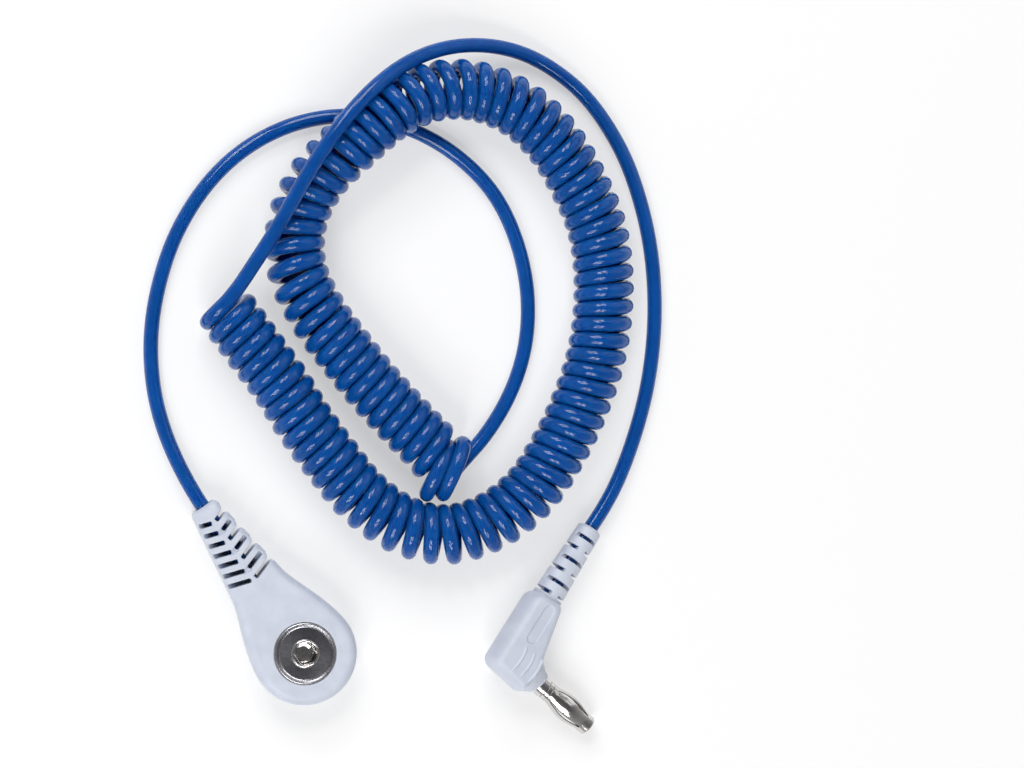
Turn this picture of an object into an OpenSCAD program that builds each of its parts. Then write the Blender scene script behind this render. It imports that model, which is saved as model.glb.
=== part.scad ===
// Coiled ground cord of a wrist strap: snap connector, coiled cable, right-angle banana plug.
// Millimetres. The cord lies on the table z = 0, with the snap socket's axis over the origin.
// Each connector is drawn in its own frame, with +Y towards its cable, and is then laid down.

/* [Cable] */
// Outside diameter of the cable's jacket
cable_d = 2.85; // [2.4:0.05:3.2]
// Diameter of the bare conductor
conductor_d = 1; // [0.8:0.1:1.2]
// Outside diameter of the coiled stretch
coil_d = 12.2; // [11:0.1:12.2]

/* [Snap housing] */
// Diameter of the housing's round end
head_d = 20.6; // [19.8:0.1:22]
// Thickness at the round end
head_h = 8; // [7.8:0.1:9]
// Thickness at the cable's end
collar_h = 6.2; // [5.8:0.1:7]
// Width at the root of the neck
neck_w = 11.8; // [11.2:0.1:12.6]
// Width at the cable's end
collar_w = 5.7; // [5.4:0.1:6.6]
// Distance from the socket's axis to the root of the neck
neck_start = 15.5; // [15:0.1:16.5]
// Distance from the socket's axis to the cable's end face
snap_reach = 35; // [34.4:0.1:38]
// Rounding of the top edge
top_round = 1.9; // [1.2:0.1:2.2]
// Rounding of the bottom edge
bottom_round = 0.6; // [0.2:0.1:1]
// Rounding of the collar's corners
collar_round = 1.2; // [0.8:0.1:1.6]

/* [Ladder strain relief] */
// Number of slots along each side
slot_count = 7; // [3:1:7]
// Distance between slots
slot_pitch = 2.25; // [2:0.05:2.3]
// Width of a slot
slot_w = 0.8; // [0.5:0.05:1]
// Distance from the socket's axis to the first slot
slot_start = 17.7; // [17.4:0.1:18.2]
// Slant of the slots towards the cable, in degrees
slot_slant = 18; // [10:1:24]
// Width of the spine between the two rows
spine_w = 1.3; // [1:0.1:1.8]
// Width of the rail outside a closed slot
rail_w = 0.8; // [0.6:0.1:1.1]
// Diameter of the core around the cable
core_d = 4.3; // [3.9:0.1:4.6]
// Depth of the groove across the spine
groove_depth = 0.5; // [0.3:0.1:0.8]

/* [Snap socket] */
// Diameter of the face disc
disc_d = 12.2; // [11.6:0.1:12.8]
// Thickness of the face disc
disc_t = 0.6; // [0.4:0.05:0.7]
// How far the disc stands out of the housing
disc_proud = 0.1; // [0:0.05:0.3]
// Bore of the socket, for a 4 mm stud
socket_bore_d = 4.5; // [4.4:0.05:4.7]
// Diameter of the rolled lip
lip_d = 5.7; // [5.4:0.1:6.2]
// Height of the rolled lip over the disc
lip_h = 0.45; // [0.3:0.05:0.6]
// Diameter of the spring wires
wire_d = 0.6; // [0.5:0.05:0.6]
// Length of the spring wires
wire_len = 7.4; // [6:0.1:7.6]
// Distance of each wire's centre from the axis
wire_offset = 2; // [1.9:0.05:2.1]
// How far each wire moves outwards
wire_travel = 0.3; // [0.2:0.05:0.35]
// Room between the end of a wire and the wall of the spring chamber
wire_room = 0.28; // [0.1:0.02:0.3]
// Wall of the drawn cup
cup_t = 0.4; // [0.3:0.05:0.45]
// Inside diameter of the cup below the chamber
cup_bore_d = 4.8; // [4.7:0.1:5.2]
// Height of the cup's floor over the table
cup_floor = 3; // [2.8:0.1:3.4]
// Thickness of the ring tag
tag_t = 0.5; // [0.4:0.05:0.6]
// Width of the tag's tail
tag_tail_w = 2; // [1.6:0.1:2.2]
// Diameter of the hard inner carrier
carrier_d = 14; // [13.4:0.1:14.6]
// Thickness of the housing's floor under the carrier
floor_t = 0.9; // [0.7:0.05:1.1]

/* [Resistor] */
// Diameter of the resistor's body
resistor_d = 2.3; // [2:0.1:2.4]
// Length of the resistor's body
resistor_len = 5.6; // [5:0.1:5.8]
// Distance from the socket's axis to the resistor
resistor_start = 10; // [9.8:0.1:10.2]
// Diameter of its leads
lead_d = 0.6; // [0.5:0.05:0.7]
// Wall of the shrink sleeve
sleeve_t = 0.25; // [0.2:0.05:0.3]
// Diameter of the crimp ferrule
ferrule_d = 2; // [1.8:0.1:2.2]
// Length of the crimp ferrule
ferrule_len = 3.4; // [3:0.1:3.6]

/* [Banana pin] */
// Diameter of the pin's tip
pin_d = 4; // [3.9:0.05:4.1]
// Length of the pin outside the body
pin_len = 13.4; // [12.6:0.1:15]
// Length of the stepped collar outside the body
collar_len = 2; // [1.6:0.1:2.4]
// Largest diameter over the leaves
bulge_d = 5.3; // [4.8:0.1:5.6]
// Thickness of the leaves
leaf_t = 0.3; // [0.2:0.05:0.35]
// Number of leaves
leaf_count = 4; // [3:1:6]
// Width of the slots between the leaves, at their ends
leaf_slot_w = 1.3; // [0.9:0.05:1.5]
// Length of the basket's ring at the collar
base_ring_len = 1.1; // [0.8:0.1:1.4]
// Length of the basket's ring at the tip
tip_ring_len = 1.9; // [1.6:0.1:2.4]
// Diameter of the core pin
core_pin_d = 2.4; // [2:0.1:2.6]
// Running clearance of the basket on the core, on the radius
spin_gap = 0.05; // [0.03:0.01:0.08]

/* [Plug body] */
// Width of the body, from its back to its front corner
body_w = 7.9; // [7.7:0.1:8.4]
// Distance from the mouth to the body's back
body_depth = 12.8; // [12.6:0.1:13.4]
// Distance from the pin's axis to the body's cable end
body_top = 15.4; // [15:0.1:16]
// Distance from the pin's axis to the body's closed end
body_foot = 4.2; // [4.1:0.1:4.6]
// Thickness of the body
body_t = 8.6; // [8.2:0.1:9]
// How far the faces pull in at the edges
body_crown = 2.1; // [1.6:0.1:2.3]
// Diameter of the mouth around the pin
mouth_d = 5; // [4.8:0.1:5.4]
// Angle between the cable and the pin, in degrees
elbow_angle = 96; // [94:1:98]
// Distance from the mouth back to the cable's axis
cable_setback = 8.8; // [8.6:0.1:9]

/* [Plug strain relief] */
// Distance from the pin's axis to the sleeve's end face
sleeve_end = 31.6; // [31:0.1:34]
// Diameter of the sleeve at the cable's end
sleeve_end_d = 5; // [4.8:0.1:5.3]
// Diameter of the sleeve at the body
sleeve_root_d = 6.3; // [5.9:0.1:6.5]
// Number of slot pairs
sleeve_slots = 6; // [4:1:6]
// Distance between slot pairs
sleeve_pitch = 2.62; // [2.4:0.01:2.64]
// Width of each slot
sleeve_slot_w = 0.65; // [0.4:0.05:0.8]
// Distance of each slot's floor from the cable's axis
sleeve_slot_floor = 1.75; // [1.7:0.05:1.9]

/* [Grips] */
// Number of grip ribs on each face
rib_count = 3; // [1:1:3]
// Distance between grip ribs
rib_pitch = 2.1; // [1.8:0.1:2.2]
// Length of a grip rib
rib_len = 5.7; // [4.5:0.1:6]
// Height of a grip rib
rib_h = 0.25; // [0.15:0.05:0.35]
// Width of the oval recess
recess_w = 2.3; // [1.8:0.1:2.6]
// Length of the oval recess
recess_len = 8.6; // [7:0.1:9]
// Depth of the oval recess
recess_depth = 0.25; // [0.15:0.05:0.4]

/* [Laying out] */
// Heading of the snap connector's cable, in degrees left of +Y
snap_heading = 34.5; // [30:0.5:38]
// Heading of the plug's cable, in degrees left of +Y
plug_heading = -33.5; // [-36:0.5:-30]
// Roll of the plug, which tips its pin down, in degrees
plug_roll = 11.5; // [10:0.5:13]
// Pitch of the plug, which tips its cable down, in degrees
plug_pitch = 6; // [4:0.5:6.5]
// Plug's mouth, distance along X
mouth_x = 47.2; // [46:0.1:49]
// Plug's mouth, distance along Y
mouth_y = -7; // [-8:0.1:-6]

/* [Clearances] */
// Gap around pieces that are moulded in
mould_gap = 0.02; // [0.01:0.01:0.04]
// Height of the resting plug over the table
rest_gap = 0.1; // [0.05:0.05:0.3]

/* [Hidden] */

$fn = 64;
rim = 0.05; // overlap of cutting bodies past the faces that they cut

// ---- snap connector, heights over the table ----
head_r = head_d/2;
cable_r = cable_d/2;
cable_z = collar_h/2;
disc_top = head_h + disc_proud;
disc_bottom = disc_top - disc_t;
flare_t = 0.25;
flare_bottom = disc_bottom - flare_t;
wire_play = 0.12;
wire_z = flare_bottom - wire_play - wire_d/2;
cup_top = wire_z - wire_d/2 - wire_play;
chamber_d = 2*(norm([wire_offset + wire_travel + wire_d/2, wire_len/2]) + wire_room);
cup_d = chamber_d + 2*cup_t;
cup_bottom = cup_top - cup_t;
tag_z = cup_bottom - mould_gap - tag_t;
tag_hole_d = cup_bore_d + 2*cup_t + 2*mould_gap;
tag_d = chamber_d - 0.2;
tag_drop_y = cup_bore_d/2 + cup_t + 1.8;
tag_end_y = resistor_start - 0.6;
tag_tail_z = cable_z - lead_d/2 - tag_t;
arm_w = resistor_d + 2*sleeve_t + 2.2;
sleeve_d = resistor_d + 2*sleeve_t;
resistor_end = resistor_start + resistor_len;
ferrule_start = resistor_end + 1;
ferrule_end = ferrule_start + ferrule_len;
snap_jacket_start = ferrule_end + 0.6;
arm_end = ferrule_start - 0.2;

// ---- plug, in its own frame: origin at the mouth, +Y along the cable, +Z out of the front ----
lean = elbow_angle - 90;
pin_r = pin_d/2;
collar_root = 2.4;
basket_start = collar_len + 0.08;
leaf_start = basket_start + base_ring_len;
leaf_end = pin_len - tip_ring_len;
nose_len = 0.9;
leaf_phase = 20;
nose_wall = 0.35;
nose_r = 0.5;
bush_end = pin_len - nose_len;
core_head_d = core_pin_d + 0.8;
head_sink = 0.5;
tail_len = cable_setback + 1.4;
eye_d = core_pin_d + 2;
eye_len = 1.6;
barrel_start = 3.2;
barrel_d = conductor_d + 1.2;
barrel_end = 7;
plug_jacket_start = 9.5;
insert_d = 5.6;
insert_pin_d = 6;
insert_end = 11.6;
anchor_d = sleeve_end_d;
anchor_start = insert_end + 0.4;
sleeve_slot_start = body_top + 0.55;
half_t = body_t/2;

// ---- how the plug lies ----
function turn_y(p, a) = [p[0]*cos(a) + p[2]*sin(a), p[1], p[2]*cos(a) - p[0]*sin(a)];
function turn_x(p, a) = [p[0], p[1]*cos(a) - p[2]*sin(a), p[1]*sin(a) + p[2]*cos(a)];
function turn_z(p, a) = [p[0]*cos(a) - p[1]*sin(a), p[0]*sin(a) + p[1]*cos(a), p[2]];
function tipped(p) = turn_x(turn_y(p, plug_roll), -plug_pitch);
function laid(p) = turn_z(tipped(p), plug_heading) + [mouth_x, mouth_y, mouth_z];
pin_axis = [cos(lean), -sin(lean), 0];
tip_low = tipped(pin_len*pin_axis)[2] - pin_r;
sleeve_low = tipped([-cable_setback, sleeve_end, 0])[2] - sleeve_end_d/2;
shoulder_low = tipped([-cable_setback + 2.3, body_top - 2.4, -half_t])[2];
mouth_z = rest_gap - min(tip_low, sleeve_low, shoulder_low);

// ---- cord routes, chosen by hand: x, y and the height over where the cord would lie ----
exit_straight = 1.5;
plug_exit = laid([-cable_setback, sleeve_end, 0]);
snap_exit = turn_z([0, snap_reach, cable_z], snap_heading);
PLUG_ROUTE = [[61.3, 29.8, 0.9], [64.2, 35.8, 0.3], [66.5, 42, 0], [68.4, 48.5, 0], [69.7, 54.8, 0],
    [70.5, 61.2, 0], [70.8, 67.5, 0], [70.6, 74, 0], [69.9, 80.5, 0], [68.5, 87.2, 0],
    [66.6, 93.4, 0], [64.3, 99.2, 0], [61, 104.8, 0], [57.2, 110, 0], [52.7, 114, 0.2],
    [47, 117.6, 0.8], [41, 119.6, 2], [34.5, 120.2, 3.6], [28, 119.4, 5.6], [22, 117.2, 8.2],
    [16.5, 113.8, 10.8], [11.5, 109.3, 12.7], [7.2, 104.5, 13.4], [3.4, 99.3, 13.4],
    [0, 93.9, 12.9], [-3.1, 88.3, 12.2], [-6.2, 82.6, 11.2], [-9.6, 77.4, 10.4],
    [-12.4, 73, 10.1], [-14, 70.8, 9.6]];
SNAP_ROUTE = [[-23.2, 34.4, 0.8], [-26, 40.2, 0.2], [-28.2, 46.4, 0], [-29.5, 52.6, 0],
    [-30, 59, 0], [-29.7, 65.4, 0], [-28.6, 71.5, 0], [-26.8, 78, 0], [-24.4, 83.7, 0],
    [-21, 89.5, 0], [-17, 94.5, 0], [-12.3, 98.8, 0], [-6.7, 102.3, 0], [-0.8, 104.7, 0],
    [5.6, 106, 0], [12, 106, 0], [18.5, 104.6, 0], [24.5, 102.3, 0], [30, 99, 0], [35, 94.7, 0],
    [39, 89.8, 0], [41.9, 83.9, 0], [43.9, 77.8, 0], [45, 71.4, 0], [45.1, 65, 0],
    [44.2, 58.6, 0], [42.2, 52.5, 0], [39.3, 46.7, 0], [35.6, 41.5, 0], [33.6, 39.4, 0]];
COIL_ROUTE = [[-17, 69.2, 0], [-14.5, 66, 0], [-10.5, 60.5, 0], [-5, 53, 0], [0, 45, 0],
    [5.5, 37.5, 0], [11.5, 30.3, 0], [19.5, 24.8, 0], [28.5, 23, 0], [37.5, 25.8, 0],
    [45, 31.7, 0], [50.3, 39.5, 0], [54.5, 48, 0], [57.7, 57, 0], [59.3, 66, 0], [59.5, 75.5, 0],
    [58, 84.7, 0], [54.2, 93.4, 0], [49, 101.2, 0], [42, 107.3, 0], [33, 110.5, 0.3],
    [24, 109.5, 1.6], [16, 105.5, 3], [8.8, 99.5, 2.4], [2.3, 92.7, 0.9], [-1.4, 84.3, 0],
    [-1.3, 75.2, 0], [2.7, 66.7, 0], [8.2, 59.2, 0], [14, 52, 0], [20.3, 45.2, 0],
    [26, 39.5, 0], [29.3, 36.9, 0], [31, 36.1, 0]];

// ---- general functions ----
function unit(v) = v/norm(v);
function flat(lists) = [for (l = lists) each l];
function bezier(a, b, c, d, t) =
    (1-t)^3*a + 3*t*(1-t)^2*b + 3*t^2*(1-t)*c + t^3*d;
function arc(c, r, a0, a1, n) = [for (i = [0:n]) c + r*[cos(a0 + (a1-a0)*i/n), sin(a0 + (a1-a0)*i/n)]];

// Points that round the corner v of an outline, between its neighbours p and q
function corner(p, v, q, r, n) =
    let (a = unit(p - v), b = unit(q - v), half = acos(a*b)/2)
    let (c = v + unit(a + b)*r/sin(half), s = v + a*r/tan(half) - c, e = v + b*r/tan(half) - c)
    let (a0 = atan2(s[1], s[0]), sweep = atan2(s[0]*e[1] - s[1]*e[0], s*e))
    arc(c, r, a0, a0 + sweep, n);

// Outline whose corners [x, y, radius] are rounded
function rounded(corners, n) =
    let (m = len(corners), xy = [for (c = corners) [c[0], c[1]]])
    flat([for (i = [0:m-1]) corner(xy[(i+m-1)%m], xy[i], xy[(i+1)%m], corners[i][2], n)]);

// The same corners with every edge moved inwards by d
function inset(corners, d) =
    let (m = len(corners), xy = [for (c = corners) [c[0], c[1]]])
    [for (i = [0:m-1])
        let (v = xy[i], a = unit(xy[(i+m-1)%m] - v), b = unit(xy[(i+1)%m] - v), half = acos(a*b)/2)
        let (p = v + unit(a + b)*d/sin(half)) [p[0], p[1], max(corners[i][2] - d, 0.35)]];

// Solid between rings [share, height]: share 0 follows the outer outline and 1 the inner one.
// Both outlines run counter-clockwise; taper [y0, y1, scale] lowers the heights along Y.
module pillow(outer, inner, rings, mirrored_caps = false, taper = [0, 1, 1]) {
    m = len(outer);
    k = len(rings);
    function share(y) = let (t = min(1, max(0, (y - taper[0])/(taper[1] - taper[0])))) 1 + (taper[2] - 1)*t;
    points = [for (ring = rings) for (i = [0:m-1])
        let (p = outer[i] + (inner[i] - outer[i])*ring[0]) [p[0], p[1], ring[1]*share(p[1])]];
    sides = [for (j = [0:k-2]) for (i = [0:m-1]) let (n = (i+1)%m)
        [j*m + i, (j+1)*m + i, (j+1)*m + n, j*m + n]];
    top = (k-1)*m;
    half = (m-1)/2;
    strips = [for (i = [1:half-1]) [i, i+1, m-i-1, m-i]];
    caps = mirrored_caps
        ? concat([[0, 1, m-1]], strips, [[top, top+m-1, top+1]],
            [for (s = strips) [top+s[3], top+s[2], top+s[1], top+s[0]]])
        : [[for (i = [0:m-1]) i], [for (i = [m-1:-1:0]) top + i]];
    polyhedron(points, concat(sides, caps), convexity = 6);
}

// Tube along a route that never stands upright
module tube(route, r, sides) {
    m = len(route);
    points = [for (i = [0:m-1])
        let (t = unit(route[min(m-1, i+1)] - route[max(0, i-1)]))
        let (side = unit(cross(t, [0, 0, 1])), up = cross(side, t))
        for (j = [0:sides-1]) route[i] + r*(cos(360*j/sides)*up + sin(360*j/sides)*side)];
    walls = [for (i = [0:m-2]) for (j = [0:sides-1]) let (n = (j+1)%sides)
        [i*sides + j, i*sides + n, (i+1)*sides + n, (i+1)*sides + j]];
    polyhedron(points, concat(walls, [[for (j = [sides-1:-1:0]) j]],
        [[for (j = [0:sides-1]) (m-1)*sides + j]]), convexity = 10);
}

// ---- placing ----
module at_snap() {
    rotate([0, 0, snap_heading]) children();
}

module at_plug() {
    translate([mouth_x, mouth_y, mouth_z])
    rotate([0, 0, plug_heading])
    rotate([-plug_pitch, 0, 0])
    rotate([0, plug_roll, 0])
    children();
}

// Cylinder along +Y from y0 to y1
module rod_y(y0, y1, d) {
    translate([0, y0, 0]) rotate([-90, 0, 0]) cylinder(h = y1 - y0, d = d);
}

// Children's Z axis becomes the pin's axis, from the mouth outwards
module along_pin() {
    rotate([0, 0, -lean]) rotate([0, 90, 0]) children();
}

// Children's Y axis becomes the plug's cable axis
module along_plug_cable() {
    translate([-cable_setback, 0, 0]) children();
}

module pin_rod(x0, x1, d) {
    along_pin() translate([0, 0, x0]) cylinder(h = x1 - x0, d = d);
}

// ---- snap connector's housing ----
head_leave = 8;
neck_slope = (neck_w - collar_w)/2/(snap_reach - neck_start);
function neck_half(y) = neck_w/2 - (y - neck_start)*neck_slope;
leave_dir = [cos(head_leave), sin(head_leave)];
leave_tangent = [-sin(head_leave), cos(head_leave)];
neck_tangent = unit([-neck_slope - 0.1, 1]);
function snap_half(d) =
    let (start = (head_r - d)*leave_dir, neck = [neck_w/2 - d, neck_start])
    concat(
        arc([0, 0], head_r - d, -90, head_leave, 16),
        [for (i = [1:8]) bezier(start, start + 6*leave_tangent, neck - 4*neck_tangent, neck, i/8)],
        corner(neck, [collar_w/2 - d, snap_reach - d], [0, snap_reach - d], max(collar_round - d, 0.35), 5));
function both_halves(half) = concat(half, [for (i = [len(half)-1:-1:1]) [-half[i][0], half[i][1]]]);

// Rings [inset, height] of the housing's edge
SNAP_RINGS = concat(
    [for (a = [0:30:90]) [bottom_round*(1 - sin(a)), bottom_round*(1 - cos(a))]],
    [for (a = [0:15:90]) [top_round*(1 - cos(a)), head_h - top_round*(1 - sin(a))]]);

module snap_shell() {
    pillow(both_halves(snap_half(0)), both_halves(snap_half(top_round)),
        [for (r = SNAP_RINGS) [r[0]/top_round, r[1]]], true, [neck_start - 6, snap_reach, collar_h/head_h]);
}

// One slot of the ladder: side is 1 for the right row and -1 for the left one
module ladder_slot(level, side) {
    y = slot_start + level*slot_pitch;
    open = side > 0 && level % 2 == 0;
    reach = open ? neck_w : (neck_half(y) - rail_w)/cos(slot_slant);
    mirror([side < 0 ? 1 : 0, 0, 0])
    translate([0, y, -rim])
    rotate([0, 0, slot_slant])
    translate([spine_w/2/cos(slot_slant), -slot_w/2, 0])
    cube([reach - spine_w/2, slot_w, head_h + 2*rim]);
}

module ladder_cuts() {
    difference() {
        for (level = [0:slot_count-1])
            for (side = [-1, 1])
                ladder_slot(level, side);
        translate([0, 0, cable_z]) rod_y(slot_start - 4, snap_reach, core_d);
    }
    for (level = [1:2:slot_count-1])
        translate([-spine_w, slot_start + level*slot_pitch - slot_w/2, collar_h - groove_depth + 0.3])
        cube([2*spine_w, slot_w, head_h]);
}

module electric_rod(y0, y1, d) {
    translate([0, 0, cable_z]) rod_y(y0, y1, d);
}

module carrier_block(gap) {
    translate([0, 0, floor_t - gap])
        cylinder(h = disc_bottom - floor_t + gap, d = carrier_d + 2*gap);
    translate([-arm_w/2 - gap, 0, floor_t - gap])
        cube([arm_w + 2*gap, arm_end + gap, cable_z - floor_t + 2*gap]);
}

module snap_housing() {
    color("#cdd3e1") at_snap()
    difference() {
        snap_shell();
        translate([0, 0, disc_bottom - mould_gap]) cylinder(h = head_h, d = disc_d + 2*mould_gap);
        carrier_block(mould_gap);
        electric_rod(0, resistor_start, lead_d + 2*mould_gap);
        electric_rod(resistor_start - 0.3 - mould_gap, arm_end + mould_gap, sleeve_d + 2*mould_gap);
        electric_rod(ferrule_start - mould_gap, ferrule_end + mould_gap, ferrule_d + 2*mould_gap);
        electric_rod(arm_end - 1, snap_jacket_start, conductor_d + 2*mould_gap);
        electric_rod(snap_jacket_start - mould_gap, snap_reach + rim, cable_d + 2*mould_gap);
        ladder_cuts();
    }
}

// ---- snap socket ----
module socket_plate() {
    edge = disc_t*0.6;
    color("#8d9094") at_snap()
    rotate_extrude()
    polygon(concat(
        [[lip_d/2 - 0.35, disc_bottom], [disc_d/2, disc_bottom], [disc_d/2, disc_top - edge]],
        arc([disc_d/2 - edge, disc_top - edge], edge, 15, 90, 5),
        [[lip_d/2 - 0.35, disc_top]]));
}

module socket_eyelet() {
    barrel = lip_d/2 - 0.35 - mould_gap;
    bore = socket_bore_d/2;
    lip_c = [(bore + lip_d/2)/2, disc_top + mould_gap];
    color("#d9dbde") at_snap()
    rotate_extrude()
    polygon(concat(
        [[bore, flare_bottom], [lip_d/2, flare_bottom], [lip_d/2, disc_bottom - mould_gap],
         [barrel, disc_bottom - mould_gap], [barrel, disc_top + mould_gap], [lip_d/2, disc_top + mould_gap]],
        [for (a = [15:15:165]) lip_c + [(lip_d/2 - bore)/2*cos(a), lip_h*sin(a)]],
        [[bore, disc_top + mould_gap]]));
}

module socket_cup() {
    r = cup_bore_d/2;
    dome = 0.9;
    color("#c4c6c9") at_snap()
    rotate_extrude()
    polygon(concat(
        [[cup_d/2, cup_bottom], [cup_d/2, disc_bottom - mould_gap],
         [chamber_d/2, disc_bottom - mould_gap], [chamber_d/2, cup_top], [r, cup_top],
         [r, cup_floor + dome]],
        [for (a = [15:15:90]) [r*cos(a), cup_floor + dome*(1 - sin(a))]],
        [[0, cup_floor - cup_t], [r - dome + cup_t, cup_floor - cup_t], [r + cup_t, cup_floor + dome],
         [r + cup_t, cup_bottom]]));
}

module spring_wire(side) {
    color("#b9bbbe") at_snap()
    translate([side*wire_offset, 0, wire_z]) rod_y(-wire_len/2, wire_len/2, wire_d);
}

module spring_wire_left() {
    spring_wire(-1);
}

module spring_wire_right() {
    spring_wire(1);
}

module tag_shape(gap) {
    translate([0, 0, tag_z - gap]) cylinder(h = tag_t + 2*gap, d = tag_d + 2*gap);
    translate([-tag_tail_w/2 - gap, 0, tag_z - gap])
        cube([tag_tail_w + 2*gap, tag_drop_y + tag_t + gap, tag_t + 2*gap]);
    translate([-tag_tail_w/2 - gap, tag_drop_y - gap, tag_tail_z - gap])
        cube([tag_tail_w + 2*gap, tag_t + 2*gap, tag_z + tag_t - tag_tail_z + 2*gap]);
    translate([-tag_tail_w/2 - gap, tag_drop_y - gap, tag_tail_z - gap])
        cube([tag_tail_w + 2*gap, tag_end_y - tag_drop_y + 2*gap, tag_t + 2*gap]);
}

module terminal_tag() {
    color("#c8b273") at_snap()
    difference() {
        tag_shape(0);
        translate([0, 0, tag_z - rim]) cylinder(h = tag_t + 2*rim, d = tag_hole_d);
    }
}

module socket_carrier() {
    color("#e8e6dc") at_snap()
    difference() {
        carrier_block(0);
        translate([0, 0, cup_bottom - mould_gap]) cylinder(h = head_h, d = cup_d + 2*mould_gap);
        translate([0, 0, cup_floor - cup_t - mould_gap]) cylinder(h = head_h, d = tag_hole_d);
        tag_shape(mould_gap);
        translate([-tag_tail_w/2 - mould_gap, tag_drop_y - mould_gap, tag_z])
            cube([tag_tail_w + 2*mould_gap, tag_t + 2*mould_gap, head_h]);
        electric_rod(tag_drop_y + tag_t, resistor_start, lead_d + 2*mould_gap);
        electric_rod(resistor_start - 0.3 - mould_gap, arm_end + rim, sleeve_d + 2*mould_gap);
    }
}

// ---- resistor and wiring of the snap connector ----
module resistor_body() {
    color("#5f8fb0") at_snap() electric_rod(resistor_start, resistor_end, resistor_d);
}

module resistor_leads() {
    color("#bfc1c4") at_snap() {
        electric_rod(tag_drop_y + tag_t + 0.2, resistor_start, lead_d);
        electric_rod(resistor_end, ferrule_start + ferrule_len/2 - 0.2, lead_d);
    }
}

module shrink_sleeve() {
    color("#2b2b2e") at_snap()
    difference() {
        electric_rod(resistor_start - 0.3, arm_end - mould_gap, sleeve_d);
        electric_rod(resistor_start - 1, arm_end + 1, resistor_d + 2*mould_gap);
    }
}

module crimp_ferrule() {
    color("#b7b9bb") at_snap()
    difference() {
        electric_rod(ferrule_start, ferrule_end, ferrule_d);
        electric_rod(ferrule_start - rim, ferrule_end + rim, conductor_d + 2*mould_gap);
    }
}

module snap_conductor() {
    color("#b87333") at_snap()
    electric_rod(ferrule_start + ferrule_len/2 + 0.2, snap_jacket_start - mould_gap, conductor_d);
}

module snap_cable_end() {
    color("#1b50a0") at_snap() electric_rod(snap_jacket_start, snap_reach, cable_d);
}

// ---- cord ----
module snap_tail() {
    straight = turn_z([0, exit_straight, 0], snap_heading);
    route = concat([snap_exit, snap_exit + straight], [for (p = SNAP_ROUTE) [p[0], p[1], p[2] + cable_r]]);
    color("#1b50a0") tube(route, cable_r, 8);
}

module plug_tail() {
    straight = laid([-cable_setback, sleeve_end + exit_straight, 0]);
    route = concat([plug_exit, straight], [for (p = PLUG_ROUTE) [p[0], p[1], p[2] + cable_r]]);
    color("#1b50a0") tube(route, cable_r, 8);
}

module coil() {
    color("#1e4196") tube([for (p = COIL_ROUTE) [p[0], p[1], p[2] + coil_d/2]], coil_d/2, 12);
}

// ---- plug ----
BODY_CORNERS = let (back = -body_depth, front = body_w - body_depth)
    [[-3.2, 0.25 - body_foot, 1.3], [-2.4, 0, 2], [-3.4, 6.4, 4], [front, body_top, 1.9],
        [back, body_top, 2.6], [back, 1.6 - body_foot, 2.2]];

module body_slab() {
    pillow(rounded(BODY_CORNERS, 5), rounded(inset(BODY_CORNERS, body_crown), 5),
        [for (a = [-90:15:90]) [1 - pow(cos(a), 0.8), half_t*sin(a)]]);
}

// Rounded neck that carries the slab's end over to the mouth
module mouth_neck() {
    r0 = half_t - 0.2;
    r1 = mouth_d/2;
    root = -4.5;
    along_pin()
    rotate_extrude()
    polygon(concat([[0, root - 1.5], [r0 - 0.6, root - 1.5]],
        [for (i = [0:8]) bezier([r0, root], [r0, root + 2.2], [r1, -2], [r1, -0.3], i/8)],
        [[r1 - 0.25, 0], [0, 0]]));
}

module grip_ribs(face) {
    sagitta = 0.45;
    bend_r = (rib_len*rib_len/4 + sagitta*sagitta)/(2*sagitta);
    sweep = 2*asin(rib_len/2/bend_r);
    rib_w = 0.45;
    rib_root = 0.5;
    for (i = [0:rib_count-1])
        translate([-cable_setback + 0.8 + i*rib_pitch - bend_r, 1.4, face*half_t])
        rotate([0, 0, -sweep/2])
        rotate_extrude(angle = sweep)
        translate([bend_r, 0])
        polygon(concat([for (a = [0:30:180]) [cos(a)*rib_w/2, face*sin(a)*rib_h]],
            [[-rib_w/2, -face*rib_root], [rib_w/2, -face*rib_root]]));
}

module oval_recess() {
    depth_z = half_t - recess_depth;
    straight = recess_len - recess_w;
    translate([-cable_setback + 0.4, 5, depth_z]) {
        translate([0, recess_w/2, 0]) cylinder(h = half_t, d = recess_w);
        translate([0, recess_w/2 + straight, 0]) cylinder(h = half_t, d = recess_w);
        translate([-recess_w/2, recess_w/2, 0]) cube([recess_w, straight, half_t]);
    }
}

module insert_block(gap) {
    pin_rod(-tail_len - 0.6 - gap, -collar_root - 0.2 + gap, insert_pin_d + 2*gap);
    along_plug_cable() rod_y(0, insert_end + gap, insert_d + 2*gap);
}

module plug_housing() {
    color("#cdd3e1") at_plug()
    difference() {
        union() {
            body_slab();
            mouth_neck();
            grip_ribs(1);
            grip_ribs(-1);
        }
        oval_recess();
        insert_block(mould_gap);
        pin_rod(-collar_root - mould_gap, rim, pin_d + 0.2 + 2*mould_gap);
        pin_rod(-collar_root - 1, 0, core_pin_d + 2*mould_gap);
        along_plug_cable() rod_y(insert_end - 1, body_top + 3, anchor_d + 2*mould_gap);
        along_plug_cable() sleeve_solid(mould_gap);
    }
}

function sleeve_r(y) = sleeve_root_d/2
    + (sleeve_end_d - sleeve_root_d)/2*(y - body_top)/(sleeve_end - body_top);

// The sleeve's outside, from the body's end to the cable's end
module sleeve_solid(gap) {
    round = 0.8;
    y0 = body_top - 0.6;
    rotate([-90, 0, 0])
    rotate_extrude()
    polygon(concat([[0, y0 - gap], [sleeve_r(y0) + gap, y0 - gap]],
        arc([sleeve_r(sleeve_end) - round + gap, sleeve_end - round], round, 0, 90, 5),
        [[0, sleeve_end]]));
}

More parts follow.
